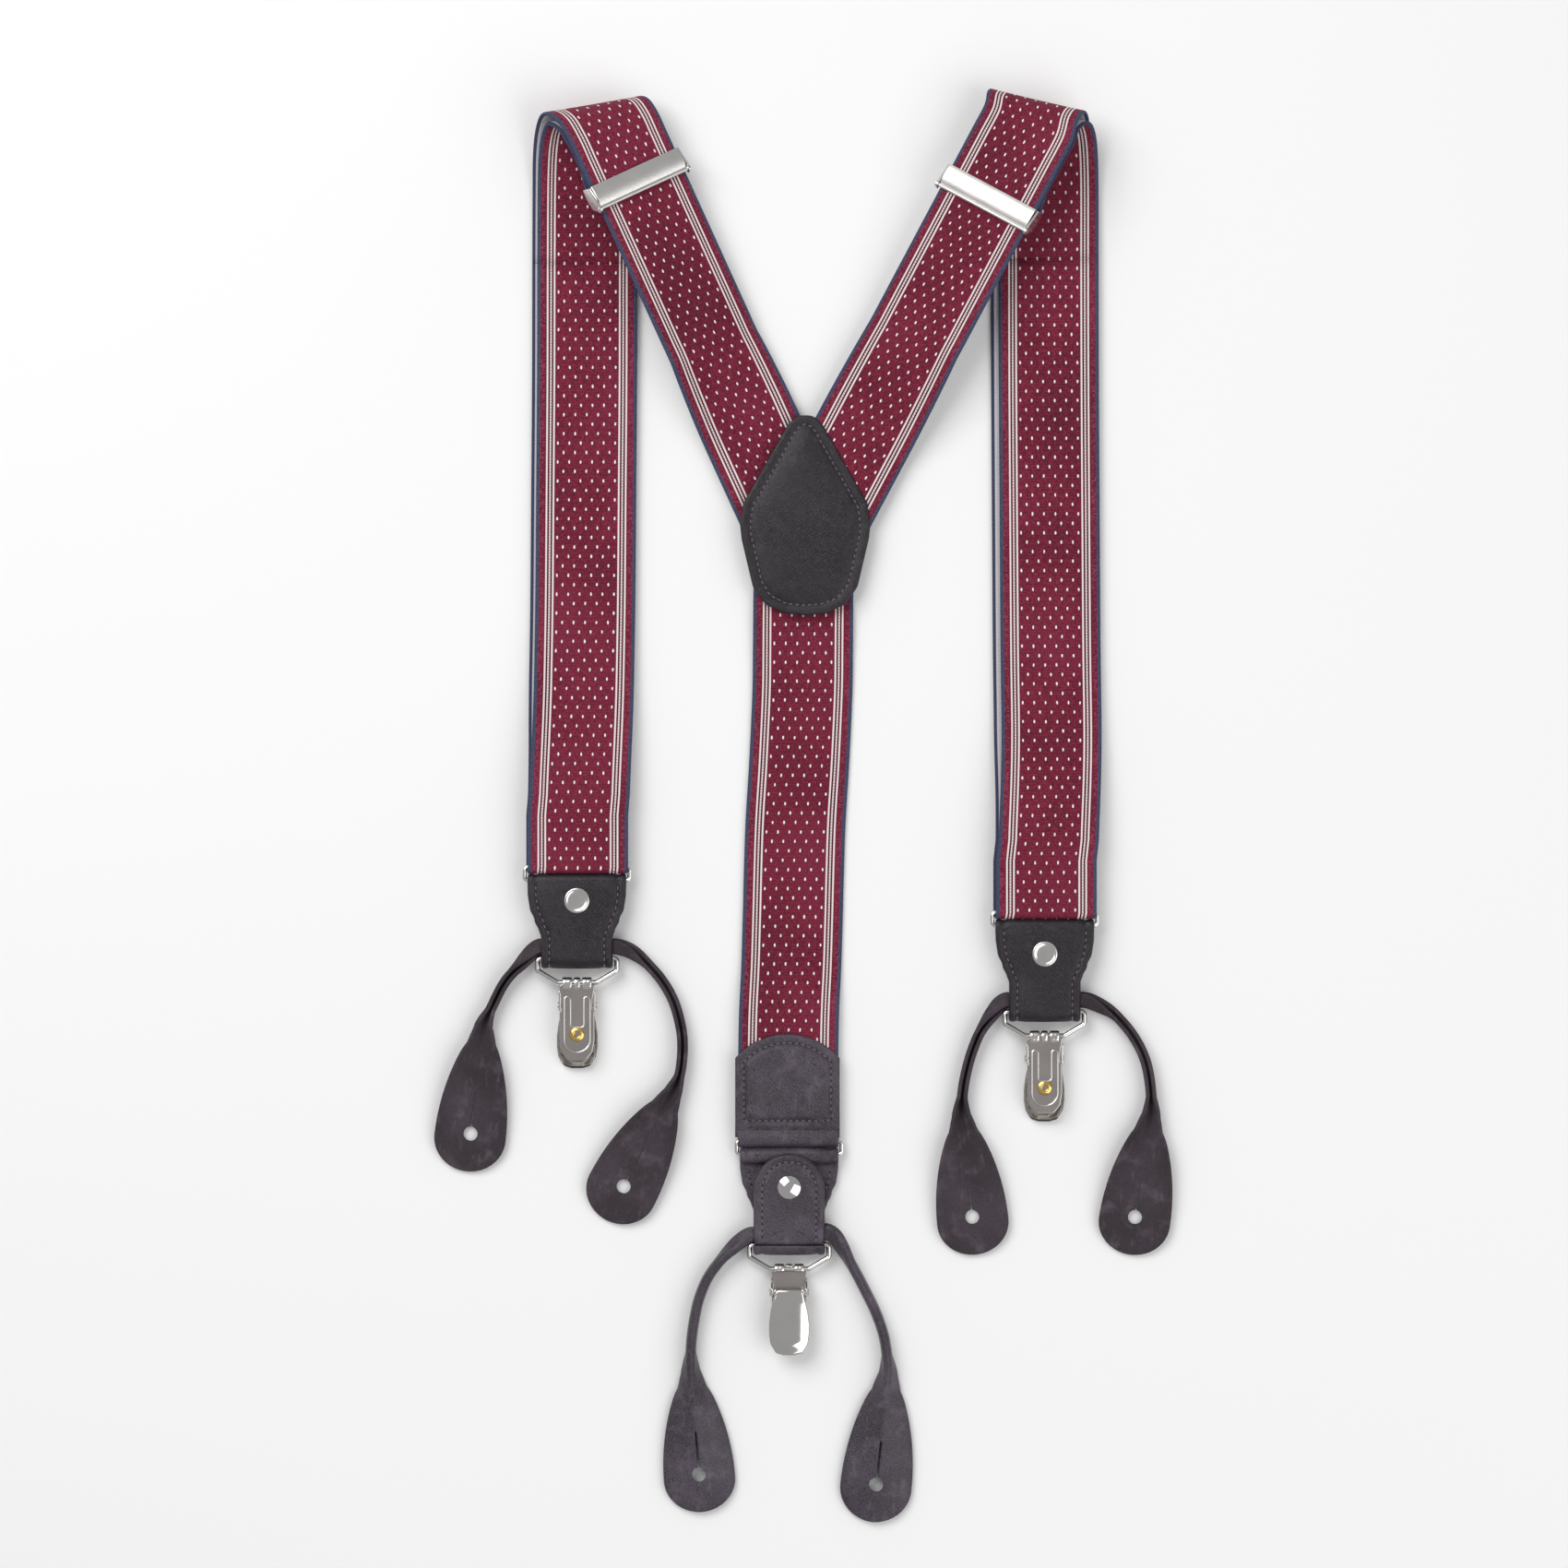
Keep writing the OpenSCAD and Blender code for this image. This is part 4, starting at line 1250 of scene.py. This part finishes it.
class SUSPENDERS_OT_back_leather(bpy.types.Operator):
    """Cuts and sews the domed leather that ends the centre strap"""

    bl_idname = "suspenders.back_leather"
    bl_label = "Back end leather"

    def execute(self, context):
        # All of this leather is painted paler for the light on the back end, which is painted light
        width, length, rise = 36.5, 37.4, 8.5
        radius = ((width / 2) ** 2 + rise**2) / (2 * rise)
        centre = length - radius
        swing = math.degrees(math.asin(width / 2 / radius))
        corner = centre + radius * math.cos(math.radians(swing))
        arch = arc(0, centre, radius, 90 - swing, 90 + swing, 36)
        right = [(width / 2, 1.4 + 1.1 * k) for k in range(60) if 1.4 + 1.1 * k < corner - 0.4]
        foot = [(width / 2 * (k / 14 - 1), 1.4) for k in range(1, 28)]
        outline = right + arch + [(-x, y) for x, y in right[::-1]] + foot
        place = at_ring("back") @ Matrix.Translation((0.6, 0, 0))
        for label, way in (("face", -1), ("under", 1)):

            def outer(x, y, inset, way=way):
                full = 0.75 * ease((inset - 2.8) / 2.0) * ease((y - 6.9) / 2.0)
                sink = 0.6 * (1 - ease((y - 3.4) / 1.6)) + 0.3 * math.exp(-(((y - 7.0) / 0.6) ** 2))
                z = 1.9 - round_edge(inset, 0.5) + rim(inset, CAP_SEAM, 0.25, 0.0) * ease(y / 6) + full - sink
                return way * (z if way < 0 else min(z, 2.0))

            def inside(x, y, inset, way=way):
                return way * (0.8 + round_edge(inset, 0.5))

            piece = pad(
                "back_leather_" + label, outline, segment_heart(17, 19), outer, inside,
                MATERIALS["pale_leather"], place, CAP_INSETS,
            )
            settle(piece, "root", "back_end_leather")
            seam = [p for p in along_outline(outline, CAP_SEAM) if p.y > CAP_ROW + 0.4]
            seam.sort(key=lambda p: math.atan2(p.x, p.y - 7.5))
            line = [(p.x, p.y, outer(0, p.y, CAP_SEAM) + way * 0.05) for p in seam]
            row = [15.1 * (1 - k / 14) for k in range(1, 28)]
            line += [(x, CAP_ROW, outer(x, CAP_ROW, 5.8) + way * 0.12) for x in row]
            sew(f"back_leather_{label}_stitches", [(line, True)], place, "root")
        bar, roll = RING_R + 0.1 + 0.7, 1.4
        side = [
            (4.4, 1.0, 18.0, 0.8), (3.4, 1.15, 18.0, 1.0), (2.4, 1.4, 17.9, 1.3), (1.2, bar + 0.1, 17.7, 1.5),
        ]
        rows = side + [
            (-bar * math.sin(math.radians(a)), bar * math.cos(math.radians(a)), 17.5, roll)
            for a in range(0, 181, 12)
        ]
        rows += [(y, -n, half, thick) for y, n, half, thick in side[::-1]]
        bead = strip(
            "back_leather_bead", rows, MATERIALS["pale_leather"],
            at_ring("back") @ Matrix.Translation((0.3, 0, 0)), 0.0, 0.0,
        )
        settle(bead, "root", "back_end_leather")
        return {"FINISHED"}


# -------------------------------------------------------- the button loops

# For each cord, from the middle of the fold: its points to the ear's neck, and the ear's far end
CORDS = {
    "left": [
        ([(-13.8, 0), (-20.5, -6.4), (-25.7, -13), (-29.5, -20.4), (-32.6, -27.5)], (-39, -78.5)),
        ([(13.8, 0), (20, -2.6), (27.5, -9), (33, -17.4), (35.9, -26.5), (36.8, -34.5), (36, -43.5),
          (33.5, -50.5)], (10, -95.5)),
    ],
    "right": [
        ([(-13.8, 0), (-18, -3.8), (-22.3, -10.6), (-25.4, -18.2), (-27.4, -25.5), (-28.6, -32.5),
          (-29, -39.5)], (-23.7, -89)),
        ([(13.8, 0), (18.5, -1.8), (25, -5.6), (30.8, -12.2), (35.1, -20.7), (37, -30.5),
          (37.2, -39.5)], (29.8, -89)),
    ],
    "back": [
        ([(-13.8, 0), (-20.8, -6), (-27.4, -14), (-31, -21.5), (-33, -29.5), (-34.2, -38.5),
          (-34.4, -47.5)], (-30.4, -97.5)),
        ([(13.8, 0), (18.2, -4.6), (22.7, -12.6), (27, -20.9), (30.6, -28.5), (33.4, -37.5),
          (34.6, -48.5)], (29, -101)),
    ],
}
EAR_HALF = 12.5
EAR_PEAK = 0.77
HOLE_UP = 13.3
HOLE_R = 2.5
SLIT = 0.3
SLIT_LENGTH = 15.0
LOOP_T = 1.4
CORD_WING = 5.3
CORD_STEPS = 9  # rows of a cord's curve from one point to the next
NECK_RUN = 24.0  # how far the cord's width lasts into the ear
SHARES = (0, 0.04, 0.1, 0.18, 0.28, 0.4, 0.54, 0.68, 0.8, 0.9, 0.96, 1.0)


def ear_half(t):
    """Half width of an ear at a share of its length from the neck"""
    if t < EAR_PEAK:
        return EAR_HALF * max(0.2, math.sin(math.radians(90 * t / EAR_PEAK)) ** 0.6)
    return EAR_HALF * math.sqrt(max(0.0, 1 - ((t - EAR_PEAK) / (1 - EAR_PEAK)) ** 2))


def folded_point(u, fold, offset):
    """Place in a folded strip's section of developed distance u from the fold, off the middle skin"""
    bend = 0.95
    angle = min(u / bend, fold)
    if u < bend * fold:
        x, z = bend * math.sin(angle), bend * (1 - math.cos(angle))
    else:
        spare = u - bend * fold
        x = bend * math.sin(fold) + spare * math.cos(fold)
        z = bend * (1 - math.cos(fold)) + spare * math.sin(fold)
    return x - math.sin(angle) * offset, z + math.cos(angle) * offset


def ear_marks(length):
    """Distances from the neck of the rows of an ear, closer round its hole and its tip"""
    hole = length - HOLE_UP
    marks = [k * 1.25 for k in range(1, int((hole - HOLE_R) / 1.25))]
    marks += [hole - HOLE_R * math.cos(math.radians(a)) for a in range(0, 181, 15)]
    marks += [hole + HOLE_R + 1.2 * k for k in range(1, 6)]
    marks += [length - 5 * (1 - math.sin(math.radians(a))) for a in (20, 35, 50, 62, 72, 80, 86, 89.5)]
    return sorted(m for m in marks if m < length)


def cord_stations(end, cord):
    """Rows along a cord and its ear: place, heading, roll, fold angle, half width, slit and way
    travelled"""
    points, tip = CORDS[end][cord]
    neck, tip = Vector(points[-1]), Vector(tip)
    down = (tip - neck).normalized()
    length = (tip - neck).length
    side = -1 if points[0][0] < 0 else 1
    # the last two points lead the cord straight into its ear, and their rows are cut off again
    route = [[0, 0], [side * 7, 0]] + [list(p) for p in points]
    route += [list(neck + down * length * t) for t in (0.12, 0.3)]
    path = [Vector(p) for p in curve_through(route, CORD_STEPS)][: -2 * CORD_STEPS]
    result = []
    travelled = 0.0
    for i, p in enumerate(path):
        if i:
            travelled += (p - path[i - 1]).length
        way = (path[min(i + 1, len(path) - 1)] - path[max(i - 1, 0)]).normalized()
        half = blend_values(travelled, 9.5, 12.8, 1.2, CORD_WING)
        result.append([p, way, half, 0.0, travelled])
    neck_at = travelled
    hole = length - HOLE_UP
    for s in ear_marks(length):
        half = max(ear_half(s / length), CORD_WING if s < NECK_RUN else 0.15)
        slit = SLIT if hole - SLIT_LENGTH < s < hole else 0.0
        if abs(s - hole) <= HOLE_R:
            slit = max(slit, math.sqrt(max(HOLE_R**2 - (s - hole) ** 2, 0.0)))
        result.append([neck + down * s, down, half, slit, neck_at + s])
    rows = []
    for p, way, half, slit, travelled in result:
        on_ear = travelled - neck_at
        fold = math.radians(86 * math.exp(-((max(0.0, on_ear + 6) / 17) ** 1.1)))
        if on_ear > 0:
            half *= 1 + (1 / math.cos(fold * 0.9) - 1) * ease(on_ear / 10)
        roll = math.radians(blend_values(travelled, 8, 30, 90, 0))
        rows.append((p, way, roll, fold, half, slit, travelled))
    return rows


def cord_section(half, fold, slit, curl, ridge_up):
    """Pairs of skin points of each wing, from the slit to the edge, and the height of their middle"""
    edge = LOOP_T / 2
    tip_z = folded_point(half, fold, edge)[1]
    wings = []
    for wing in (-1, 1):
        line = []
        for share in SHARES:
            u = slit + (half - slit) * share
            pull = round_edge(half - u, 0.45) if share > 0.5 else 0.0
            pair = []
            for offset in (edge - pull, -edge + pull):
                x, z = folded_point(u, fold, offset)
                z += edge + curl * (u / max(half, 0.1)) ** 3
                if ridge_up:
                    z = tip_z + 2 * edge + curl - z
                pair.append((wing * x, z))
            line.append(pair)
        wings.append(line)
    return wings, (tip_z + edge) / 2


def lay_section(bm, wings, middle, centre, across, roll, rest):
    """Vertices of a section rolled about its middle, which rests at a height over the centre"""
    c, s = math.cos(roll), math.sin(roll)
    row = []
    for line in wings:
        row.append([])
        for pair in line:
            points = []
            for x, z in pair:
                xr, zr = x * c - (z - middle) * s, x * s + (z - middle) * c
                ground = centre + across * xr
                points.append(bm.verts.new((ground.x, ground.y, rest + zr)))
            row[-1].append(points)
    return row


def button_loop(end):
    """Both cords and ears of one end's button loop, as one folded strip"""
    here = END[end]
    axis = Vector((here.x, here.y - RING_PITCH - here.run + LOOP_UP, here.z + here.side * FOLD_N))
    bm = bmesh.new()
    last = len(SHARES) - 1
    for cord in (0, 1):
        grid = []
        for p, way, roll, fold, half, slit, travelled in cord_stations(end, cord):
            curl = 0.9 * blend_values(travelled, 40, 70, 0, 1) * (half / EAR_HALF)
            wings, middle = cord_section(half, fold, slit, curl, end == "back")
            rest = blend_values(travelled, 12, 38, axis.z, middle + 0.05)
            across = Vector((way.y, -way.x))
            grid.append((lay_section(bm, wings, middle, axis.xy + p, across, roll, rest), slit))
        for (row_a, slit_a), (row_b, slit_b) in zip(grid, grid[1:]):
            for a, b in zip(row_a, row_b):
                for k in range(last):
                    for skin in (0, 1):
                        bm.faces.new((a[k][skin], a[k + 1][skin], b[k + 1][skin], b[k][skin]))
                bm.faces.new((a[last][0], a[last][1], b[last][1], b[last][0]))
                if slit_a > 0 or slit_b > 0:
                    bm.faces.new((a[0][0], a[0][1], b[0][1], b[0][0]))
        for wing in grid[-1][0]:
            for a, b in zip(wing, wing[1:]):
                bm.faces.new((a[0], b[0], b[1], a[1]))
    return bm


class SUSPENDERS_OT_button_loops(bpy.types.Operator):
    """Folds the leather strips whose ends open out into button-hole ears"""

    bl_idname = "suspenders.button_loops"
    bl_label = "Button loops"

    def execute(self, context):
        for end in ENDS:
            # The back loop wears the leather that is painted paler for the light on the back end
            finish = MATERIALS["pale_leather" if end == "back" else "flesh"]
            piece = new_piece(end + "_button_strip", button_loop(end), [finish])
            settle(piece, end + "_button_loop", end + "_button_loop")
        return {"FINISHED"}


# ----------------------------------------------------------- the hardware


def dress(node, material):
    """Gives a carried-over node its finish"""
    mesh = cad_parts[node].data
    mesh.materials.clear()
    mesh.materials.append(MATERIALS[material])


def turned(name, profile, place, material, segments=48):
    """A turned part from (radius, height) pairs, closed on its axis at both ends"""
    bm = bmesh.new()
    angles = [math.tau * k / segments for k in range(segments)]
    rings = [
        [bm.verts.new((r * math.cos(a), r * math.sin(a), n)) for a in angles] for r, n in profile[1:-1]
    ]
    poles = [bm.verts.new((0, 0, profile[0][1])), bm.verts.new((0, 0, profile[-1][1]))]
    for k in range(segments):
        j = (k + 1) % segments
        bm.faces.new((poles[0], rings[0][k], rings[0][j]))
        bm.faces.new((poles[1], rings[-1][j], rings[-1][k]))
        for a, b in zip(rings, rings[1:]):
            bm.faces.new((a[k], b[k], b[j], a[j]))
    bm.transform(place)
    return new_piece(name, bm, [material])


def rolled_rib(name, path, radius, n, place, material):
    """A raised round rib along a closed path, half sunk in the plate below it"""
    points = [Vector((x, y, n)) for x, y in path]
    rings = []
    for i, here in enumerate(points):
        way = (points[(i + 1) % len(points)] - points[i - 1]).normalized()
        side = Vector((-way.y, way.x, 0)) * radius
        angles = [math.tau * k / 10 for k in range(10)]
        rings.append([here + side * math.cos(a) + Vector((0, 0, radius * math.sin(a))) for a in angles])
    rings.append(rings[0])
    return loft(name, [[place @ p for p in ring] for ring in rings], [material], caps=False)


CLIP_PLATE = [
    (5.3, -0.4), (6.1, -0.9), (6.0, -2.5), (5.5, -5.4), (5.4, -9.2), (6.05, -10.2), (6.15, -20),
    (5.4, -24.2), (3.2, -27.0),
]
LEVER_PLATE = [
    (4.9, -7.0), (5.5, -10), (6.5, -14), (7.1, -18.5), (7.1, -22.5), (6.6, -26), (4.7, -29.2), (2.0, -30),
]
PLATE_LOW = 1.0
PLATE_TOP = 1.8
PIVOT = (-8.0, -2.4)
LEVER_OUTER = -4.9
EYELET = [
    (0, -1.3), (0.85, -1.2), (0.9, 0.2), (1.05, 0.42), (1.35, 0.52), (1.75, 0.46), (2.3, 0.24),
    (2.58, 0.02), (2.5, -0.04), (1.2, -0.05), (1.2, -2.3), (0, -2.35),
]
STUD = [
    (0, 2.64), (2.6, 2.68), (3.2, 2.72), (3.55, 2.86), (3.95, 2.92), (4.3, 2.8), (4.48, 2.55), (4.45, 2.2),
    (1.2, 2.15), (1.2, 0.1), (3.1, 0.08), (3.4, -0.1), (3.3, -0.45), (1.6, -0.5), (1.35, -0.9),
    (1.45, -1.5), (1.2, -2.0), (0.6, -2.2), (0, -2.2),
]


PLATE_INSETS = [0, 0.04, 0.1, 0.2, 0.35, 0.7]
SHELL_INSETS = [0, 0.05, 0.12, 0.25, 0.4, 0.6, 0.9, 1.4, 2.2, 3.2]
EYELET_Y = -18.0
# Hooks on the bail: x, half width and how far each rolls round, in degrees
HOOKS = {"a": (-3.45, 1.75, 215), "b": (3.45, 1.75, 215), "c": (0.0, 1.2, 160)}
HINGE_EAR = [
    (PIVOT[0] - 1.5, PIVOT[1] - 0.6), (PIVOT[0] + 1.2, PIVOT[1] - 1.4), (-3.2, 0.2), (-2.6, 1.7),
    (-9.9, 1.7), (-9.9, -0.2),
]
LEVER_CHEEK = [
    (PIVOT[0] - 1.5, LEVER_OUTER + 0.9), (PIVOT[0] + 1.5, LEVER_OUTER + 1.0),
    (PIVOT[0] + 1.4, PIVOT[1] + 1.3), (PIVOT[0] - 1.4, PIVOT[1] + 1.3),
]
SIDEWAYS = Matrix(((0, 0, 1, 0), (1, 0, 0, 0), (0, 1, 0, 0), (0, 0, 0, 1)))


def both_sides(half):
    """A closed outline from its right half, top to bottom"""
    return half + [(-x, y) for x, y in half[::-1]]


def pressed_path():
    """The closed line pressed into a clip's plate: a long U with its inner bar below the fold"""
    path = [(-4.5, -6.0 - 2 * k) for k in range(7)]
    path += arc(0, -19.8, 4.5, 180, 360, 20)
    path += [(4.5, -18 + 2 * k) for k in range(7)] + arc(3.4, -6, 1.1, 0, 180, 8)[1:]
    path += [(2.3, -8 - 2 * k) for k in range(3)] + arc(1.3, -14.6, 1.0, 0, -90, 5)
    path += arc(-1.3, -14.6, 1.0, -90, -180, 5) + [(-2.3, -12 + 2 * k) for k in range(3)]
    return path + arc(-3.4, -6, 1.1, 0, 180, 8)[:-1]


def side_plate(name, outline, radius, step, heart, chamfer, x, place):
    """A small plate that stands across the clip at a distance from its middle"""
    return pad(
        name, fine_outline(outline, radius, step), lambda y, n: heart,
        lambda y, n, d: 0.8 - round_edge(d, chamfer), lambda y, n, d: round_edge(d, chamfer),
        MATERIALS["nickel"], place @ Matrix.Translation((x, 0, 0)) @ SIDEWAYS, PLATE_INSETS[:5], 2,
    )


def clip_back(end):
    """The back plate of a clip with its eyelet, pressed line, hooks and hinge ears"""
    place = at_clip(end)
    body = end + "_clip"
    # The plate wears nickel painted darker for a dark reflection
    plate = pad(
        end + "_clip_plate", fine_outline(both_sides(CLIP_PLATE), 1.6, 0.5), segment_heart(-21, -5),
        lambda x, y, d: PLATE_TOP - round_edge(d, 0.3), lambda x, y, d: PLATE_LOW + round_edge(d, 0.12),
        MATERIALS["plate"], place, PLATE_INSETS, 3,
    )
    settle(plate, body, end + "_clip_base")
    eyelet = turned(
        end + "_brass_eyelet", [(r, PLATE_TOP + n) for r, n in EYELET],
        place @ Matrix.Translation((0, EYELET_Y, 0)), MATERIALS["brass"],
    )
    settle(eyelet, body, end + "_clip_eyelet")
    line = rolled_rib(
        end + "_clip_pressed_line", pressed_path(), 0.34, PLATE_TOP, place, MATERIALS["nickel"]
    )
    settle(line, body)
    for label, (x, half, stop) in HOOKS.items():
        rows = [(-2.2, 1.4, half, 0.78), (-1.0, 1.4, half, 0.78)]
        for angle in range(0, stop, 15):
            a = math.radians(angle)
            rows.append((1.45 * math.sin(a), 1.45 * math.cos(a) - 0.03, half, 0.78))
        hook = strip(
            f"{end}_clip_hook_{label}", rows, MATERIALS["nickel"],
            place @ Matrix.Translation((x, 0, 0)), 0.0, 0.0,
        )
        settle(hook, body)
    for label, x in (("a", -6.4), ("b", 5.6)):
        ear = side_plate(f"{end}_clip_ear_{label}", HINGE_EAR, 0.9, 0.5, (-6.8, 0.2), 0.2, x, place)
        settle(ear, body)


def clip_lever(end):
    """The crowned lever of a clip and its cheeks"""
    place = at_clip(end)
    body = end + "_clip_lever"

    def crown(x, y):
        wide = 0.9 * (x / 7.2) ** 2
        return wide + 0.8 * ease((-25 - y) / 5.5) + 0.35 * ease((y + 12) / 5)

    shell = pad(
        end + "_clip_lever_shell", fine_outline(both_sides(LEVER_PLATE), 2.4, 0.5), segment_heart(-23, -12),
        lambda x, y, d: min(LEVER_OUTER + 0.8 + crown(x, y), -1.5) + 0.9 * (1 - ease(d / 0.7)),
        lambda x, y, d: LEVER_OUTER + crown(x, y) + round_edge(d, 0.6),
        MATERIALS["mirror"], place, SHELL_INSETS, 4,
    )
    settle(shell, body, end + "_clip_lever")
    for label, x in (("a", -5.2), ("b", 4.4)):
        cheek = side_plate(f"{end}_clip_cheek_{label}", LEVER_CHEEK, 1.2, 0.4, PIVOT, 0.15, x, place)
        settle(cheek, body)


class SUSPENDERS_OT_hardware(bpy.types.Operator):
    """Plates the rings, bails, snaps, clips and adjusters"""

    bl_idname = "suspenders.hardware"
    bl_label = "Hardware"

    def execute(self, context):
        finishes = {
            "ring": "nickel", "bail": "nickel", "snap_cap": "mirror", "clip_pin": "mirror",
            "clip_pad": "pad",
        }
        for end in ENDS:
            for part, material in finishes.items():
                dress(f"{end}_{part}", material)
            clip_back(end)
            clip_lever(end)
            head = at_bail(end) @ Matrix.Translation((0, SNAP_UP, 0))
            stud = turned(end + "_rivet", STUD, head, MATERIALS["nickel"])
            settle(stud, end + "_tab", end + "_snap_stud")
        for side in SIDES:
            dress(side + "_adjuster_frame", "nickel")
            dress(side + "_adjuster_lever", "brushed")
        return {"FINISHED"}


# --------------------------------------------------------------- the stage

MIDDLE = Vector((-0.0063, 0.0084, 0.0))  # where the camera and the lamps point
SENSOR = 36.0
FLOOR_REACH = 3.0
FLOOR_GAP = 0.0002
WORLD_LIGHT = 0.4


class SUSPENDERS_OT_stage(bpy.types.Operator):
    """Sets up the camera, the floor and the lights"""

    bl_idname = "suspenders.stage"
    bl_label = "Stage"

    def execute(self, context):
        scene = context.scene
        sizes = scene.stage_sizes
        lens = bpy.data.cameras.new("camera")
        lens.sensor_width = SENSOR
        lens.lens = SENSOR * sizes.camera_height / sizes.view_width
        camera = bpy.data.objects.new("camera", lens)
        camera.location = MIDDLE + Vector((0, 0, sizes.camera_height))
        scene.collection.objects.link(camera)
        scene.camera = camera

        bm = bmesh.new()
        corners = ((-1, -1), (1, -1), (1, 1), (-1, 1))
        bm.faces.new([bm.verts.new((x * FLOOR_REACH, y * FLOOR_REACH, 0)) for x, y in corners])
        mesh = bpy.data.meshes.new("floor")
        bm.to_mesh(mesh)
        bm.free()
        mesh.materials.append(floor_paper(sizes.floor))
        floor = bpy.data.objects.new("floor", mesh)
        floor.location.z = CAD_BOX[0].z - FLOOR_GAP
        scene.collection.objects.link(floor)

        for name, power, place, size in (
            ("key", sizes.key, (-0.7, 0.75, 1.3), 1.1),
            ("fill", sizes.fill, (0.95, -0.55, 1.2), 1.4),
        ):
            lamp = bpy.data.lights.new(name, "AREA")
            lamp.energy = power
            lamp.size = size
            light = bpy.data.objects.new(name, lamp)
            light.location = place
            light.rotation_euler = (MIDDLE - Vector(place)).to_track_quat("-Z", "Y").to_euler()
            scene.collection.objects.link(light)
        world = bpy.data.worlds.new("studio")
        world.use_nodes = True
        background = world.node_tree.nodes["Background"]
        background.inputs["Color"].default_value = (1, 1, 1, 1)
        background.inputs["Strength"].default_value = WORLD_LIGHT
        scene.world = world
        scene.view_settings.view_transform = "Standard"
        return {"FINISHED"}


class SUSPENDERS_PT_panel(bpy.types.Panel):
    """Shows the building steps and the sizes of the suspenders"""

    bl_label = "Suspenders"
    bl_idname = "SUSPENDERS_PT_panel"
    bl_space_type = "VIEW_3D"
    bl_region_type = "UI"
    bl_category = "Suspenders"

    def draw(self, context):
        for operator in OPERATORS:
            self.layout.operator(operator.bl_idname)
        for sizes in SETTINGS:
            group = getattr(context.scene, sizes)
            box = self.layout.box()
            for key in group.__annotations__:
                box.prop(group, key)


OPERATORS = (
    SUSPENDERS_OT_stage,
    SUSPENDERS_OT_shoulder_straps,
    SUSPENDERS_OT_centre_strap,
    SUSPENDERS_OT_patch,
    SUSPENDERS_OT_tabs,
    SUSPENDERS_OT_back_leather,
    SUSPENDERS_OT_button_loops,
    SUSPENDERS_OT_hardware,
)
SETTINGS = {
    "webbing_sizes": WebbingSizes,
    "leather_sizes": LeatherSizes,
    "metal_sizes": MetalSizes,
    "stage_sizes": StageSizes,
}


def register():
    """Registers the sizes, the operators and the panel"""
    for cls in (*SETTINGS.values(), *OPERATORS, SUSPENDERS_PT_panel):
        bpy.utils.register_class(cls)
    for name, group in SETTINGS.items():
        setattr(bpy.types.Scene, name, PointerProperty(type=group))


def unregister():
    """Undoes register"""
    for name in SETTINGS:
        delattr(bpy.types.Scene, name)
    for cls in (SUSPENDERS_PT_panel, *OPERATORS[::-1], *SETTINGS.values()):
        bpy.utils.unregister_class(cls)


def main():
    """Builds everything in order"""
    register()
    make_materials(bpy.context.scene)
    for operator in OPERATORS:
        group, name = operator.bl_idname.split(".")
        getattr(getattr(bpy.ops, group), name)()


if __name__ == "__main__":
    main()
